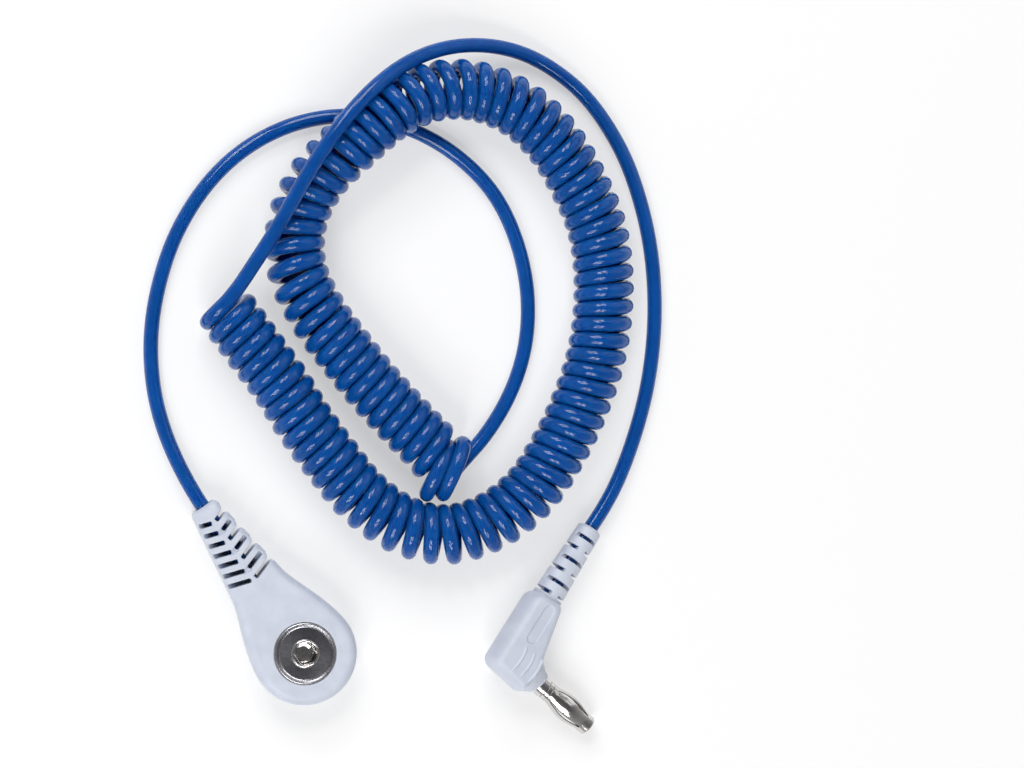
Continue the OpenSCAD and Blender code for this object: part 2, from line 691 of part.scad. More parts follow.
module sleeve_cuts() {
    wide = sleeve_root_d + 1;
    for (i = [0:sleeve_slots-1])
        for (side = [-1, 1])
            translate([0, sleeve_slot_start + i*sleeve_pitch, 0])
            rotate([0, i % 2 == 0 ? 90 : 0, 0])
            translate([-wide/2, -sleeve_slot_w/2, side > 0 ? sleeve_slot_floor : -sleeve_slot_floor - wide])
            cube([wide, sleeve_slot_w, wide]);
}

module plug_strain_relief() {
    color("#cdd3e1") at_plug() along_plug_cable()
    difference() {
        union() {
            sleeve_solid(0);
            rod_y(anchor_start, body_top, anchor_d);
        }
        rod_y(anchor_start - 1, sleeve_end + 1, cable_d + 2*mould_gap);
        sleeve_cuts();
    }
}

module pin_core() {
    color("#c9cbce") at_plug() {
        pin_rod(-tail_len, bush_end + 0.1, core_pin_d);
        pin_rod(bush_end + 0.1, pin_len - head_sink, core_head_d);
    }
}

module base_collar() {
    color("#a9acb0") at_plug()
    difference() {
        union() {
            pin_rod(-collar_root, collar_len*0.45, pin_d + 0.2);
            pin_rod(0, collar_len, pin_d - 0.5);
            pin_rod(collar_len*0.6, collar_len, pin_d);
        }
        pin_rod(-collar_root - 1, collar_len + 1, core_pin_d + 2*mould_gap);
    }
}

// Radius of the leaves' outside, for share t of the way from the base ring to the tip ring
ring_r = pin_r - 0.03;
function leaf_r(t) = ring_r + (pin_r - ring_r)*t + (bulge_d/2 - ring_r)*pow(sin(180*t), 1.2);

module contact_basket() {
    bore = core_pin_d/2 + spin_gap;
    steps = 12;
    shares = [for (i = [0:steps]) i/steps];
    function along(t) = leaf_start + (leaf_end - leaf_start)*t;
    profile = concat(
        [[bore, basket_start], [ring_r, basket_start]],
        [for (t = shares) [leaf_r(t), along(t)]],
        [[pin_r, pin_len - nose_r]],
        arc([pin_r - nose_r, pin_len - nose_r], nose_r, 20, 90, 4),
        [[pin_r - nose_r - nose_wall + 0.1, pin_len], [pin_r - nose_wall, pin_len - 0.4],
         [pin_r - nose_wall, bush_end], [bore, bush_end], [bore, leaf_end + 0.4]],
        [for (i = [steps:-1:0]) [leaf_r(shares[i]) - leaf_t, along(shares[i])]],
        [[bore, leaf_start - 0.2]]);
    color("#d2d3d5") at_plug() along_pin()
    difference() {
        rotate_extrude() polygon(profile);
        for (i = [0:leaf_count-1])
            rotate([0, 0, leaf_phase + 360*i/leaf_count]) leaf_slot();
    }
}

// Slot between two leaves, cut outwards along +X; each leaf keeps its width where it bows out
module leaf_slot() {
    r = leaf_slot_w/2;
    start = leaf_start + r + rim;
    end = leaf_end - r - rim;
    function half(t) = r + PI*(leaf_r(t) - pin_r)/leaf_count;
    shares = [for (i = [1:6]) i/7];
    rotate([90, 0, 90])
    linear_extrude(bulge_d)
    polygon(concat(
        arc([0, start], r, 185, 355, 6), [for (t = shares) [half(t), start + (end - start)*t]],
        arc([0, end], r, 5, 175, 6), [for (i = [5:-1:0]) [-half(shares[i]), start + (end - start)*shares[i]]]));
}

module crimp_terminal() {
    color("#c8b273") at_plug()
    difference() {
        union() {
            pin_rod(-cable_setback/cos(lean) - eye_len/2, -cable_setback/cos(lean) + eye_len/2, eye_d);
            along_plug_cable() rod_y(barrel_start - 1.2, barrel_end, barrel_d);
        }
        pin_rod(-tail_len - 2, 0, core_pin_d + 2*mould_gap);
        along_plug_cable() rod_y(barrel_start, barrel_end + 1, conductor_d + 2*mould_gap);
    }
}

module plug_conductor() {
    color("#b87333") at_plug() along_plug_cable()
    rod_y(barrel_start + 0.3, plug_jacket_start - mould_gap, conductor_d);
}

module plug_cable_end() {
    color("#1b50a0") at_plug() along_plug_cable() rod_y(plug_jacket_start, sleeve_end, cable_d);
}

module plug_insert() {
    gap = mould_gap;
    color("#e8e6dc") at_plug()
    difference() {
        insert_block(0);
        pin_rod(-tail_len - gap, 1, core_pin_d + 2*gap);
        pin_rod(-cable_setback/cos(lean) - eye_len/2 - gap, -cable_setback/cos(lean) + eye_len/2 + gap,
            eye_d + 2*gap);
        along_plug_cable() {
            rod_y(0, barrel_end + gap, barrel_d + 2*gap);
            rod_y(barrel_end, insert_end, conductor_d + 2*gap);
            rod_y(plug_jacket_start - gap, insert_end + 1, cable_d + 2*gap);
        }
    }
}

snap_housing();
socket_plate();
socket_eyelet();
socket_cup();
spring_wire_left();
spring_wire_right();
socket_carrier();
terminal_tag();
resistor_body();
resistor_leads();
shrink_sleeve();
crimp_ferrule();
snap_conductor();
snap_cable_end();
snap_tail();
coil();
plug_tail();
plug_strain_relief();
plug_housing();
plug_insert();
pin_core();
base_collar();
contact_basket();
crimp_terminal();
plug_conductor();
plug_cable_end();
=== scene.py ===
"""Looks of the coiled ground cord: snap connector, coiled blue cable and banana plug."""

import math

import bmesh
import bpy
import numpy as np
from mathutils import Matrix, Vector


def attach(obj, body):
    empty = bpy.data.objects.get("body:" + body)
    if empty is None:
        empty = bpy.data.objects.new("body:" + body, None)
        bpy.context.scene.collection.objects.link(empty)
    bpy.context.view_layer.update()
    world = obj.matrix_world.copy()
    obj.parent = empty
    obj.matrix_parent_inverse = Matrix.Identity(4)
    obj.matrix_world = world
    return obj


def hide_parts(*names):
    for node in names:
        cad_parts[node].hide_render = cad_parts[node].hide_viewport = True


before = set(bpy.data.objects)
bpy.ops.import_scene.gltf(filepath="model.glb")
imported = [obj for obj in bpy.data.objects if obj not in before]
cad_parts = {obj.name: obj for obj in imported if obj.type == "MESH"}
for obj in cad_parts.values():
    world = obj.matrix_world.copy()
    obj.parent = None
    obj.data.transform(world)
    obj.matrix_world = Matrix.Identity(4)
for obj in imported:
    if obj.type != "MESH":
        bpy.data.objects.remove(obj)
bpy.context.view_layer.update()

MM = 0.001
WIDTH, HEIGHT = 1024, 768

# ---------------------------------------------------------------- camera
AIM = Vector((42.05, 52.89, 0)) * MM
DISTANCE = 711 * MM
CAMERA_TILT = math.radians(8)
LENS = 125
SENSOR = 36
CLIP_START, CLIP_END = 0.05, 20

right = Vector((math.cos(CAMERA_TILT), 0, math.sin(CAMERA_TILT)))
up = Vector((0, 1, 0))
back = right.cross(up)
camera = bpy.data.objects.new("camera", bpy.data.cameras.new("camera"))
camera.data.lens = LENS
camera.data.sensor_width = SENSOR
camera.data.sensor_fit = "AUTO"
camera.data.clip_start = CLIP_START
camera.data.clip_end = CLIP_END
facing = Matrix((right, up, back)).transposed().to_4x4()
camera.matrix_world = Matrix.Translation(AIM + back * DISTANCE) @ facing
bpy.context.scene.collection.objects.link(camera)
bpy.context.scene.camera = camera
bpy.context.scene.view_settings.view_transform = "Standard"


def shown_at(point):
    """Where a point of the row frame, in metres, falls in the photograph's frame."""
    p = camera.matrix_world.inverted() @ Vector(point)
    pixels = max(WIDTH, HEIGHT) * LENS / SENSOR
    return WIDTH / 2 - pixels * p.x / p.z, HEIGHT / 2 + pixels * p.y / p.z


# ---------------------------------------------------------------- sizes repeated from the CAD, in millimetres
COIL_R = 6.1
SNAP_HEADING = math.radians(34.5)
PLUG_HEADING = math.radians(-33.5)
PLUG_ROLL = math.radians(11.5)
PLUG_PITCH = math.radians(6)
MOUTH = Vector((47.2, -7, 4.596))
CABLE_SETBACK = 8.8
SNAP_REACH = 35
SLEEVE_END = 31.6
CABLE_Z = 3.1
EXIT_STRAIGHT = 1.5
CABLE_INSIDE = 0.6
CABLE_R = 1.47  # 0.045 over the solid's, as it measures in the photograph
WOUND = 1.06  # the wound cable is flattened, so its turns look wider and touch

AT_SNAP = Matrix.Rotation(SNAP_HEADING, 4, "Z")
AT_PLUG = (
    Matrix.Translation(MOUTH)
    @ Matrix.Rotation(PLUG_HEADING, 4, "Z")
    @ Matrix.Rotation(-PLUG_PITCH, 4, "X")
    @ Matrix.Rotation(PLUG_ROLL, 4, "Y")
)
LEAN = math.radians(6)
ALONG_PIN = AT_PLUG @ Matrix.Rotation(-LEAN, 4, "Z") @ Matrix.Rotation(math.radians(90), 4, "Y")
ALONG_CABLE = AT_PLUG @ Matrix.Translation((-CABLE_SETBACK, 0, 0))

# Routes of the cord: x, y and the height over where the cord would lie
PLUG_ROUTE = [
    (61.3, 29.8, 0.9), (64.2, 35.8, 0.3), (66.5, 42, 0), (68.4, 48.5, 0), (69.7, 54.8, 0),
    (70.5, 61.2, 0), (70.8, 67.5, 0), (70.6, 74, 0), (69.9, 80.5, 0), (68.5, 87.2, 0),
    (66.6, 93.4, 0), (64.3, 99.2, 0), (61, 104.8, 0), (57.2, 110, 0), (52.7, 114, 0.2),
    (47, 117.6, 0.8), (41, 119.6, 2), (34.5, 120.2, 3.6), (28, 119.4, 5.6), (22, 117.2, 8.2),
    (16.5, 113.8, 10.8), (11.5, 109.3, 12.7), (7.2, 104.5, 13.4), (3.4, 99.3, 13.4),
    (0, 93.9, 12.9), (-3.1, 88.3, 12.2), (-6.2, 82.6, 11.2), (-9.6, 77.4, 10.4),
    (-12.4, 73, 10.1), (-14, 70.8, 9.6),
]
SNAP_ROUTE = [
    (-23.2, 34.4, 0.8), (-26, 40.2, 0.2), (-28.2, 46.4, 0), (-29.5, 52.6, 0),
    (-30, 59, 0), (-29.7, 65.4, 0), (-28.6, 71.5, 0), (-26.8, 78, 0), (-24.4, 83.7, 0),
    (-21, 89.5, 0), (-17, 94.5, 0), (-12.3, 98.8, 0), (-6.7, 102.3, 0), (-0.8, 104.7, 0),
    (5.6, 106, 0), (12, 106, 0), (18.5, 104.6, 0), (24.5, 102.3, 0), (30, 99, 0), (35, 94.7, 0),
    (39, 89.8, 0), (41.9, 83.9, 0), (43.9, 77.8, 0), (45, 71.4, 0), (45.1, 65, 0),
    (44.2, 58.6, 0), (42.2, 52.5, 0), (39.3, 46.7, 0), (35.6, 41.5, 0), (33.6, 39.4, 0),
]
COIL_ROUTE = [
    (-17, 69.2, 0), (-14.5, 66, 0), (-10.5, 60.5, 0), (-5, 53, 0), (0, 45, 0),
    (5.5, 37.5, 0), (11.5, 30.3, 0), (19.5, 24.8, 0), (28.5, 23, 0), (37.5, 25.8, 0),
    (45, 31.7, 0), (50.3, 39.5, 0), (54.5, 48, 0), (57.7, 57, 0), (59.3, 66, 0), (59.5, 75.5, 0),
    (58, 84.7, 0), (54.2, 93.4, 0), (49, 101.2, 0), (42, 107.3, 0), (33, 110.5, 0.3),
    (24, 109.5, 1.6), (16, 105.5, 3), (8.8, 99.5, 2.4), (2.3, 92.7, 0.9), (-1.4, 84.3, 0),
    (-1.3, 75.2, 0), (2.7, 66.7, 0), (8.2, 59.2, 0), (14, 52, 0), (20.3, 45.2, 0),
    (26, 39.5, 0), (29.3, 36.9, 0), (31, 36.1, 0),
]
# Turns counted from the coil's start, against the distance along its middle
COIL_COUNT = [
    (0, 1.2), (1, 4.6), (4, 14.1), (9, 30), (14, 45.7), (16, 52.5), (18, 59.7), (21, 70.8), (25, 84.5),
    (28, 94.2), (32, 106.7), (36, 119.5), (42, 139), (46, 151.9), (50, 165.1), (53, 175.3), (55, 181.9),
    (57, 189.3), (59, 196.5), (63, 209), (67, 224), (71, 239), (74, 249.5), (80, 268.2), (84, 280.7),
    (84.75, 283.4), (85, 283.9), (85.25, 284.8), (86, 286.2), (86.5, 287.5),
]
# How far single turns lie off the coil's middle to its left, against the same count
COIL_ASIDE = [
    (0, 0.5), (0.5, 0.1), (16, 0.2), (31, 0), (46, 0), (50, -0.35), (55, -0.5), (57, -0.75), (59, -0.6),
    (61, -0.25), (72, -0.1), (84.2, 0), (84.75, -2.2), (85, -2.7), (85.25, -3), (85.5, -1.8), (85.75, 0),
    (86, -0.5), (86.25, -1.1), (86.5, -0.8),
]
# The last turns stand more upright, and the last one is a little wider
COIL_TURNED = [(0, 0), (84.3, 0), (84.8, 4), (86.5, 4)]
COIL_WIDER = [(0, 0), (84.8, 0), (85.2, 0.3), (86, 0.4), (86.5, 0.4)]
POINTS_PER_TURN = 28
POINTS_PER_STEP, TAIL_POINTS_PER_STEP, TAIL_EVENED = 24, 8, 6
AXIS_REACH = 2.5  # half the stretch of the coil's middle that gives its direction


# ---------------------------------------------------------------- cord
def catmull(points, per):
    """A smooth line through the points, with per pieces between each two."""
    p = [np.array(q, float) for q in points]
    line = []
    for i in range(len(p) - 1):
        a, b, c, d = p[max(0, i - 1)], p[i], p[i + 1], p[min(len(p) - 1, i + 2)]
        for k in range(per):
            t = k / per
            line.append(
                0.5 * (2 * b + (c - a) * t + (2 * a - 5 * b + 4 * c - d) * t * t
                       + (3 * b - a - 3 * c + d) * t ** 3)
            )
    line.append(p[-1])
    return np.array(line)


def distances(line):
    """Distance of each point along the line from its start."""
    return np.concatenate([[0], np.cumsum(np.linalg.norm(np.diff(line, axis=0), axis=1))])


def at_distance(line, s, where):
    """The line's points at the distances where; s is the distance of each of its own points."""
    return np.array([np.interp(where, s, line[:, k]) for k in range(3)]).T


def by_count(table, count):
    """A table's value at each count, evened over a quarter of a turn."""
    exact = np.interp(count, [c for c, _ in table], [v for _, v in table])
    return evened(exact, POINTS_PER_TURN // 8)


def evened(values, reach):
    """Running mean over reach points to each side, which leaves both ends where they are."""
    n = len(values)
    out = np.array(values, float)
    for i in range(n):
        k = min(reach, i, n - 1 - i)
        out[i] = values[i - k:i + k + 1].mean(axis=0)
    return out


def helix():
    """The cable's centreline through the coil, from the plug's end to the snap's."""
    middle = catmull([(x, y, z + COIL_R) for x, y, z in COIL_ROUTE], POINTS_PER_STEP)
    s = distances(middle)
    turns = COIL_COUNT[-1][0]
    count = np.linspace(0, turns, int(turns * POINTS_PER_TURN) + 1)
    where = by_count(COIL_COUNT, count)
    ahead = at_distance(middle, s, np.minimum(where + AXIS_REACH, s[-1]))
    ahead -= at_distance(middle, s, np.maximum(where - AXIS_REACH, 0))
    ahead /= np.linalg.norm(ahead, axis=1)[:, None]
    aside = np.cross(np.array([0, 0, 1.0]), ahead)
    aside /= np.linalg.norm(aside, axis=1)[:, None]
    over = np.cross(ahead, aside)
    wider = by_count(COIL_WIDER, count)[:, None]
    here = at_distance(middle, s, where) + aside * by_count(COIL_ASIDE, count)[:, None] + over * wider
    turned = np.radians(by_count(COIL_TURNED, count))[:, None]
    aside = np.cos(turned) * aside - np.sin(turned) * ahead
    angle = (math.pi / 2 + 2 * math.pi * count)[:, None]
    return here + (COIL_R - CABLE_R * WOUND + wider) * (np.cos(angle) * aside + np.sin(angle) * over)


def tail(start, direction, route, end, beyond):
    """From a connector's exit along its route to the coil's end. It meets the turn there without a
    kink, because a helper point after the end lies in the direction from the end to beyond."""
    line = [start, start + direction * EXIT_STRAIGHT] + [(x, y, z + CABLE_R) for x, y, z in route]
    way = (beyond - end) / np.linalg.norm(beyond - end)
    last = np.array(line[-1])
    helper = last + 2 * np.linalg.norm(end - last) * way
    return evened(catmull(line + [end, helper], TAIL_POINTS_PER_STEP)[:-TAIL_POINTS_PER_STEP], TAIL_EVENED)


def cord_line():
    """The cord's centreline from the snap connector to the plug, and its thickness over CABLE_R."""
    turns = helix()
    snap_exit = AT_SNAP @ Vector((0, SNAP_REACH, CABLE_Z))
    snap_way = (AT_SNAP.to_3x3() @ Vector((0, 1, 0))).normalized()
    plug_exit = ALONG_CABLE @ Vector((0, SLEEVE_END, 0))
    plug_way = (ALONG_CABLE.to_3x3() @ Vector((0, 1, 0))).normalized()
    snap_side = tail(snap_exit, snap_way, SNAP_ROUTE, turns[-1], turns[-2])
    plug_side = tail(plug_exit, plug_way, PLUG_ROUTE, turns[0], turns[1])
    into = [snap_exit - snap_way * CABLE_INSIDE]
    out = [plug_exit - plug_way * CABLE_INSIDE]
    line = np.concatenate([into, snap_side[:-1], turns[::-1], plug_side[-2::-1], out])
    wound = np.zeros(len(line))
    wound[len(into) + len(snap_side) - 1:][:len(turns)] = 1
    thick = 1 + (WOUND - 1) * evened(wound, POINTS_PER_TURN // 2)
    line[:, 2] = np.maximum(line[:, 2], CABLE_R * thick)
    return line, thick


def tube_curve(name, line, thick, radius, resolution):
    """A cable along the line, in millimetres, as one open spline, thick times the radius at each point."""
    data = bpy.data.curves.new(name, "CURVE")
    data.dimensions = "3D"
    data.twist_mode = "MINIMUM"
    data.bevel_depth = radius * MM
    data.bevel_resolution = resolution
    spline = data.splines.new("POLY")
    spline.points.add(len(line) - 1)
    co = np.ones((len(line), 4))
    co[:, :3] = line * MM
    spline.points.foreach_set("co", co.ravel())
    spline.points.foreach_set("radius", thick)
    spline.use_smooth = True
    piece = bpy.data.objects.new(name, data)
    bpy.context.scene.collection.objects.link(piece)
    return piece


# ---------------------------------------------------------------- mesh tools, in millimetres
TINY = 1e-6
MIN_ROUND = 0.35


def new_piece(name, mesh):
    piece = bpy.data.objects.new(name, mesh)
    bpy.context.scene.collection.objects.link(piece)
    return piece


def solid(name, points, faces):
    mesh = bpy.data.meshes.new(name)
    mesh.from_pydata([tuple(p) for p in points], [], faces)
    bm = bmesh.new()
    bm.from_mesh(mesh)
    bmesh.ops.remove_doubles(bm, verts=bm.verts, dist=TINY)
    bmesh.ops.recalc_face_normals(bm, faces=bm.faces)
    bm.to_mesh(mesh)
    bm.free()
    return new_piece(name, mesh)


def walls(rings):
    """The points of rings with the same number of points each, and the faces between the rings."""
    m = len(rings[0])
    points = [p for ring in rings for p in ring]
    faces = [
        (j * m + i, j * m + (i + 1) % m, (j + 1) * m + (i + 1) % m, (j + 1) * m + i)
        for j in range(len(rings) - 1) for i in range(m)
    ]
    return points, faces, m


def stacked(name, rings):
    """Closed solid between rings, with a fan of faces at each end."""
    points, faces, m = walls(rings)
    for j in (0, len(rings) - 1):
        ring = rings[j]
        centre = len(points)
        points.append(tuple(sum(p[k] for p in ring) / m for k in range(3)))
        faces += [(j * m + i, j * m + (i + 1) % m, centre) for i in range(m)]
    return solid(name, points, faces)


def lathe(name, profile, around=96, place=Matrix()):
    """Solid of revolution about Z; profile is a closed list of (radius, z), on or off the axis."""
    points, index = [], []
    for r, z in profile:
        if r < TINY:
            index.append([len(points)] * around)
            points.append((0, 0, z))
        else:
            index.append(list(range(len(points), len(points) + around)))
            points += [
                (r * math.cos(2 * math.pi * k / around), r * math.sin(2 * math.pi * k / around), z)
                for k in range(around)
            ]
    faces = []
    for j in range(len(profile)):
        a, b = index[j], index[(j + 1) % len(profile)]
        for k in range(around):
            n = (k + 1) % around
            face = []
            for v in (a[k], a[n], b[n], b[k]):
                if v not in face:
                    face.append(v)
            if len(face) > 2:
                faces.append(face)
    piece = solid(name, points, faces)
    piece.data.transform(place)
    return piece


def rod(name, r, z0, z1, place=Matrix(), around=64):
    return lathe(name, [(0, z0), (r, z0), (r, z1), (0, z1)], around, place)


def prism(name, outline, z0, z1, place=Matrix()):
    points, faces, m = walls([[(x, y, z) for x, y in outline] for z in (z0, z1)])
    faces += [tuple(range(m)), tuple(range(2 * m - 1, m - 1, -1))]
    piece = solid(name, points, faces)
    piece.data.transform(place)
    return piece


def box(name, low, high, place=Matrix()):
    outline = [(low[0], low[1]), (high[0], low[1]), (high[0], high[1]), (low[0], high[1])]
    return prism(name, outline, low[2], high[2], place)


def baked(piece):
    """Applies the modifiers of a piece."""
    graph = bpy.context.evaluated_depsgraph_get()
    mesh = bpy.data.meshes.new_from_object(piece.evaluated_get(graph))
    old = piece.data
    piece.modifiers.clear()
    piece.data = mesh
    bpy.data.meshes.remove(old)
    return piece


def combine(piece, others, operation):
    """Exact union or difference with the others, which are used up."""
    group = bpy.data.collections.new("cutters")
    for o in others:
        group.objects.link(o)
    m = piece.modifiers.new("combine", "BOOLEAN")
    m.operation = operation
    m.operand_type = "COLLECTION"
    m.collection = group
    m.solver = "EXACT"
    m.use_self = True
    baked(piece)
    for o in others:
        bpy.data.objects.remove(o)
    bpy.data.collections.remove(group)
    return piece


def moulded(piece, voxel, rounds):
    """Softens every edge of a piece, as a moulded rubber's."""
    m = piece.modifiers.new("grain", "REMESH")
    m.mode = "VOXEL"
    m.voxel_size = voxel
    m.use_smooth_shade = True
    s = piece.modifiers.new("soften", "SMOOTH")
    s.factor = 0.5
    s.iterations = rounds
    return baked(piece)


def placed(piece, place):
    """Puts a piece that was built in millimetres into the row frame, in metres."""
    piece.data.transform(Matrix.Diagonal((MM, MM, MM, 1)) @ place)
    piece.data.update()
    return piece


def smooth(piece, degrees):
    """Shades a piece smooth, with sharp edges over the angle."""
    piece.data.polygons.foreach_set("use_smooth", [True] * len(piece.data.polygons))
    piece.data.set_sharp_from_angle(angle=math.radians(degrees))
    return piece


def unit(x, y):
    n = math.hypot(x, y)
    return x / n, y / n


def arc(cx, cy, r, a0, a1, n):
    angles = [math.radians(a0 + (a1 - a0) * i / n) for i in range(n + 1)]
    return [(cx + r * math.cos(a), cy + r * math.sin(a)) for a in angles]


def bezier(a, b, c, d, n):
    out = []
    for i in range(n + 1):
        t = i / n
        w = ((1 - t) ** 3, 3 * t * (1 - t) ** 2, 3 * t * t * (1 - t), t ** 3)
        out.append(tuple(w[0] * a[k] + w[1] * b[k] + w[2] * c[k] + w[3] * d[k] for k in (0, 1)))
    return out


def corner(p, v, q, r, n):
    """Points that round the corner v between its neighbours p and q."""
    a = Vector((p[0] - v[0], p[1] - v[1])).normalized()
    b = Vector((q[0] - v[0], q[1] - v[1])).normalized()
    half = a.angle(b) / 2
    c = Vector(v[:2]) + (a + b).normalized() * (r / math.sin(half))
    s = Vector(v[:2]) + a * (r / math.tan(half)) - c
    e = Vector(v[:2]) + b * (r / math.tan(half)) - c
    a0 = math.degrees(math.atan2(s.y, s.x))
    sweep = math.degrees(math.atan2(s.x * e.y - s.y * e.x, s.dot(e)))
    return arc(c.x, c.y, r, a0, a0 + sweep, n)


def rounded(corners, n):
    """Outline through corners of (x, y, rounding)."""
    m = len(corners)
    out = []
    for i, c in enumerate(corners):
        out += corner(corners[i - 1], c, corners[(i + 1) % m], c[2], n)
    return out


def inset(corners, d):
    """The corners moved inwards by d, each with a rounding that is smaller by d."""
    m = len(corners)
    out = []
    for i, c in enumerate(corners):
        v = Vector(c[:2])
        a = (Vector(corners[i - 1][:2]) - v).normalized()
        b = (Vector(corners[(i + 1) % m][:2]) - v).normalized()
        p = v + (a + b).normalized() * (d / math.sin(a.angle(b) / 2))
        out.append((p.x, p.y, max(c[2] - d, MIN_ROUND)))
    return out


# ---------------------------------------------------------------- materials
def fill(node, values):
    """Sets inputs of a node by name, with an underscore for each space."""
    for key, value in values.items():
        node.inputs[key.replace("_", " ")].default_value = value
    return node


class Look:
    """A procedural material under construction."""

    def __init__(self, name):
        self.m = bpy.data.materials.new(name)
        self.m.use_nodes = True
        self.t = self.m.node_tree
        self.shader = self.t.nodes["Principled BSDF"]
        self.where = self.t.nodes.new("ShaderNodeTexCoord").outputs["Object"]

    def set(self, **values):
        fill(self.shader, values)

    def node(self, kind, **values):
        return fill(self.t.nodes.new("ShaderNode" + kind), values)

    def link(self, a, b):
        self.t.links.new(a, b)

    def noise(self, scale, detail=3, roughness=0.55, stretch=None):
        n = self.node("TexNoise", Scale=scale, Detail=detail, Roughness=roughness)
        source = self.where
        if stretch:
            mapping = self.node("Mapping", Scale=stretch)
            self.link(source, mapping.inputs["Vector"])
            source = mapping.outputs["Vector"]
        self.link(source, n.inputs["Vector"])
        return n.outputs["Fac"]

    def ramp(self, fac, low, high):
        """A colour between low and high, for the middle two fifths of a noise."""
        r = self.node("ValToRGB")
        for end, position, colour in zip(r.color_ramp.elements, (0.3, 0.7), (low, high)):
            end.position, end.color = position, (*colour, 1)
        self.link(fac, r.inputs["Fac"])
        return r.outputs["Color"]

    def span(self, fac, low, high):
        m = self.node("MapRange", To_Min=low, To_Max=high)
        self.link(fac, m.inputs["Value"])
        return m.outputs["Result"]

    def bump(self, height, distance, strength=1.0, fade=None):
        """Bump of a height; fade is a node's output that stands for the strength where it varies."""
        b = self.node("Bump", Strength=strength, Distance=distance)
        if fade:
            self.link(fade, b.inputs["Strength"])
        self.link(height, b.inputs["Height"])
        self.link(b.outputs["Normal"], self.shader.inputs["Normal"])

    def colour(self, source):
        self.link(source, self.shader.inputs["Base Color"])

    def rough(self, source):
        self.link(source, self.shader.inputs["Roughness"])


def srgb(r, g, b):
    """An 8-bit screen colour as the linear one that a shader takes."""
    return tuple(((c / 255 + 0.055) / 1.055) ** 2.4 if c > 10 else c / 255 / 12.92 for c in (r, g, b))


def soft_shell_look():
    look = Look("soft_shell")
    look.set(IOR=1.48, Subsurface_Weight=0.12, Subsurface_Scale=0.002, Subsurface_Radius=(0.9, 1.0, 1.1))
    look.colour(look.ramp(look.noise(260, 3), srgb(197, 203, 217), srgb(207, 213, 225)))
    look.rough(look.span(look.noise(900, 2), 0.42, 0.56))
    look.bump(look.noise(5200, 3, 0.6), 0.000012, 0.5)
    return look.m


def cable_look():
    look = Look("blue_jacket")
    look.set(IOR=1.42, Subsurface_Weight=1.0, Subsurface_Scale=0.0045, Subsurface_Radius=(0.3, 0.6, 1.0))
    look.colour(look.ramp(look.noise(160, 2), srgb(6, 75, 145), srgb(9, 83, 157)))
    look.rough(look.span(look.noise(420, 2), 0.09, 0.15))
    look.bump(look.noise(700, 2, 0.5), 0.000005, 0.4)
    return look.m


def nickel_look(name, low, high, rough, streak=(1, 1, 1)):
    look = Look(name)
    look.set(Metallic=1.0)
    look.colour(look.ramp(look.noise(700, 4, 0.6, streak), low, high))
    look.rough(look.span(look.noise(1400, 3, 0.6, streak), rough * 0.75, rough * 1.35))
    look.bump(look.noise(2600, 3, 0.6, streak), 0.0000025, 0.35)
    return look.m


def turned_look():
    """Nickel with the fine rings of a turned face about the socket's axis, and a smooth rim painted lighter
    as a highlight.
    """
    rim_from, rim_to = 5.55 * MM, 5.65 * MM
    look = Look("disc_nickel")
    look.set(Metallic=1.0, Anisotropic=0.45)
    tangent = look.node("Tangent")
    tangent.direction_type = "RADIAL"
    tangent.axis = "Z"
    look.link(tangent.outputs["Tangent"], look.shader.inputs["Tangent"])
    rings = look.node("TexWave", Scale=900, Distortion=1.5, Detail=2)
    rings.wave_type = "RINGS"
    rings.rings_direction = "Z"
    look.link(look.where, rings.inputs["Vector"])
    face = look.ramp(look.noise(260, 3), srgb(150, 151, 158), srgb(167, 166, 171))
    flat = look.node("VectorMath")
    flat.operation = "MULTIPLY"
    flat.inputs[1].default_value = (1, 1, 0)
    look.link(look.where, flat.inputs[0])
    out = look.node("VectorMath")
    out.operation = "LENGTH"
    look.link(flat.outputs["Vector"], out.inputs[0])
    edge = look.node("MapRange", From_Min=rim_from, From_Max=rim_to)
    look.link(out.outputs["Value"], edge.inputs["Value"])
    # Painted highlight: from rim_from outwards the rim gets a lighter colour than the face, and the turned
    # rings fade out there.
    mix = look.node("Mix")
    mix.data_type = "RGBA"
    mix.inputs["B"].default_value = (*srgb(178, 177, 180), 1)
    look.link(edge.outputs["Result"], mix.inputs["Factor"])
    look.link(face, mix.inputs["A"])
    look.colour(mix.outputs["Result"])
    look.rough(look.span(look.noise(1400, 3), 0.22, 0.32))
    look.bump(rings.outputs["Fac"], 0.0000015, fade=look.span(edge.outputs["Result"], 0.4, 0))
    return look.m


def plain_look(name, low, high, rough, metal=0.0, scale=600):
    look = Look(name)
    look.set(Metallic=metal)
    look.colour(look.ramp(look.noise(scale, 3), low, high))
    look.rough(look.span(look.noise(scale * 2, 2), rough * 0.8, rough * 1.25))
    look.bump(look.noise(scale * 5, 3), 0.00001, 0.4)
    return look.m


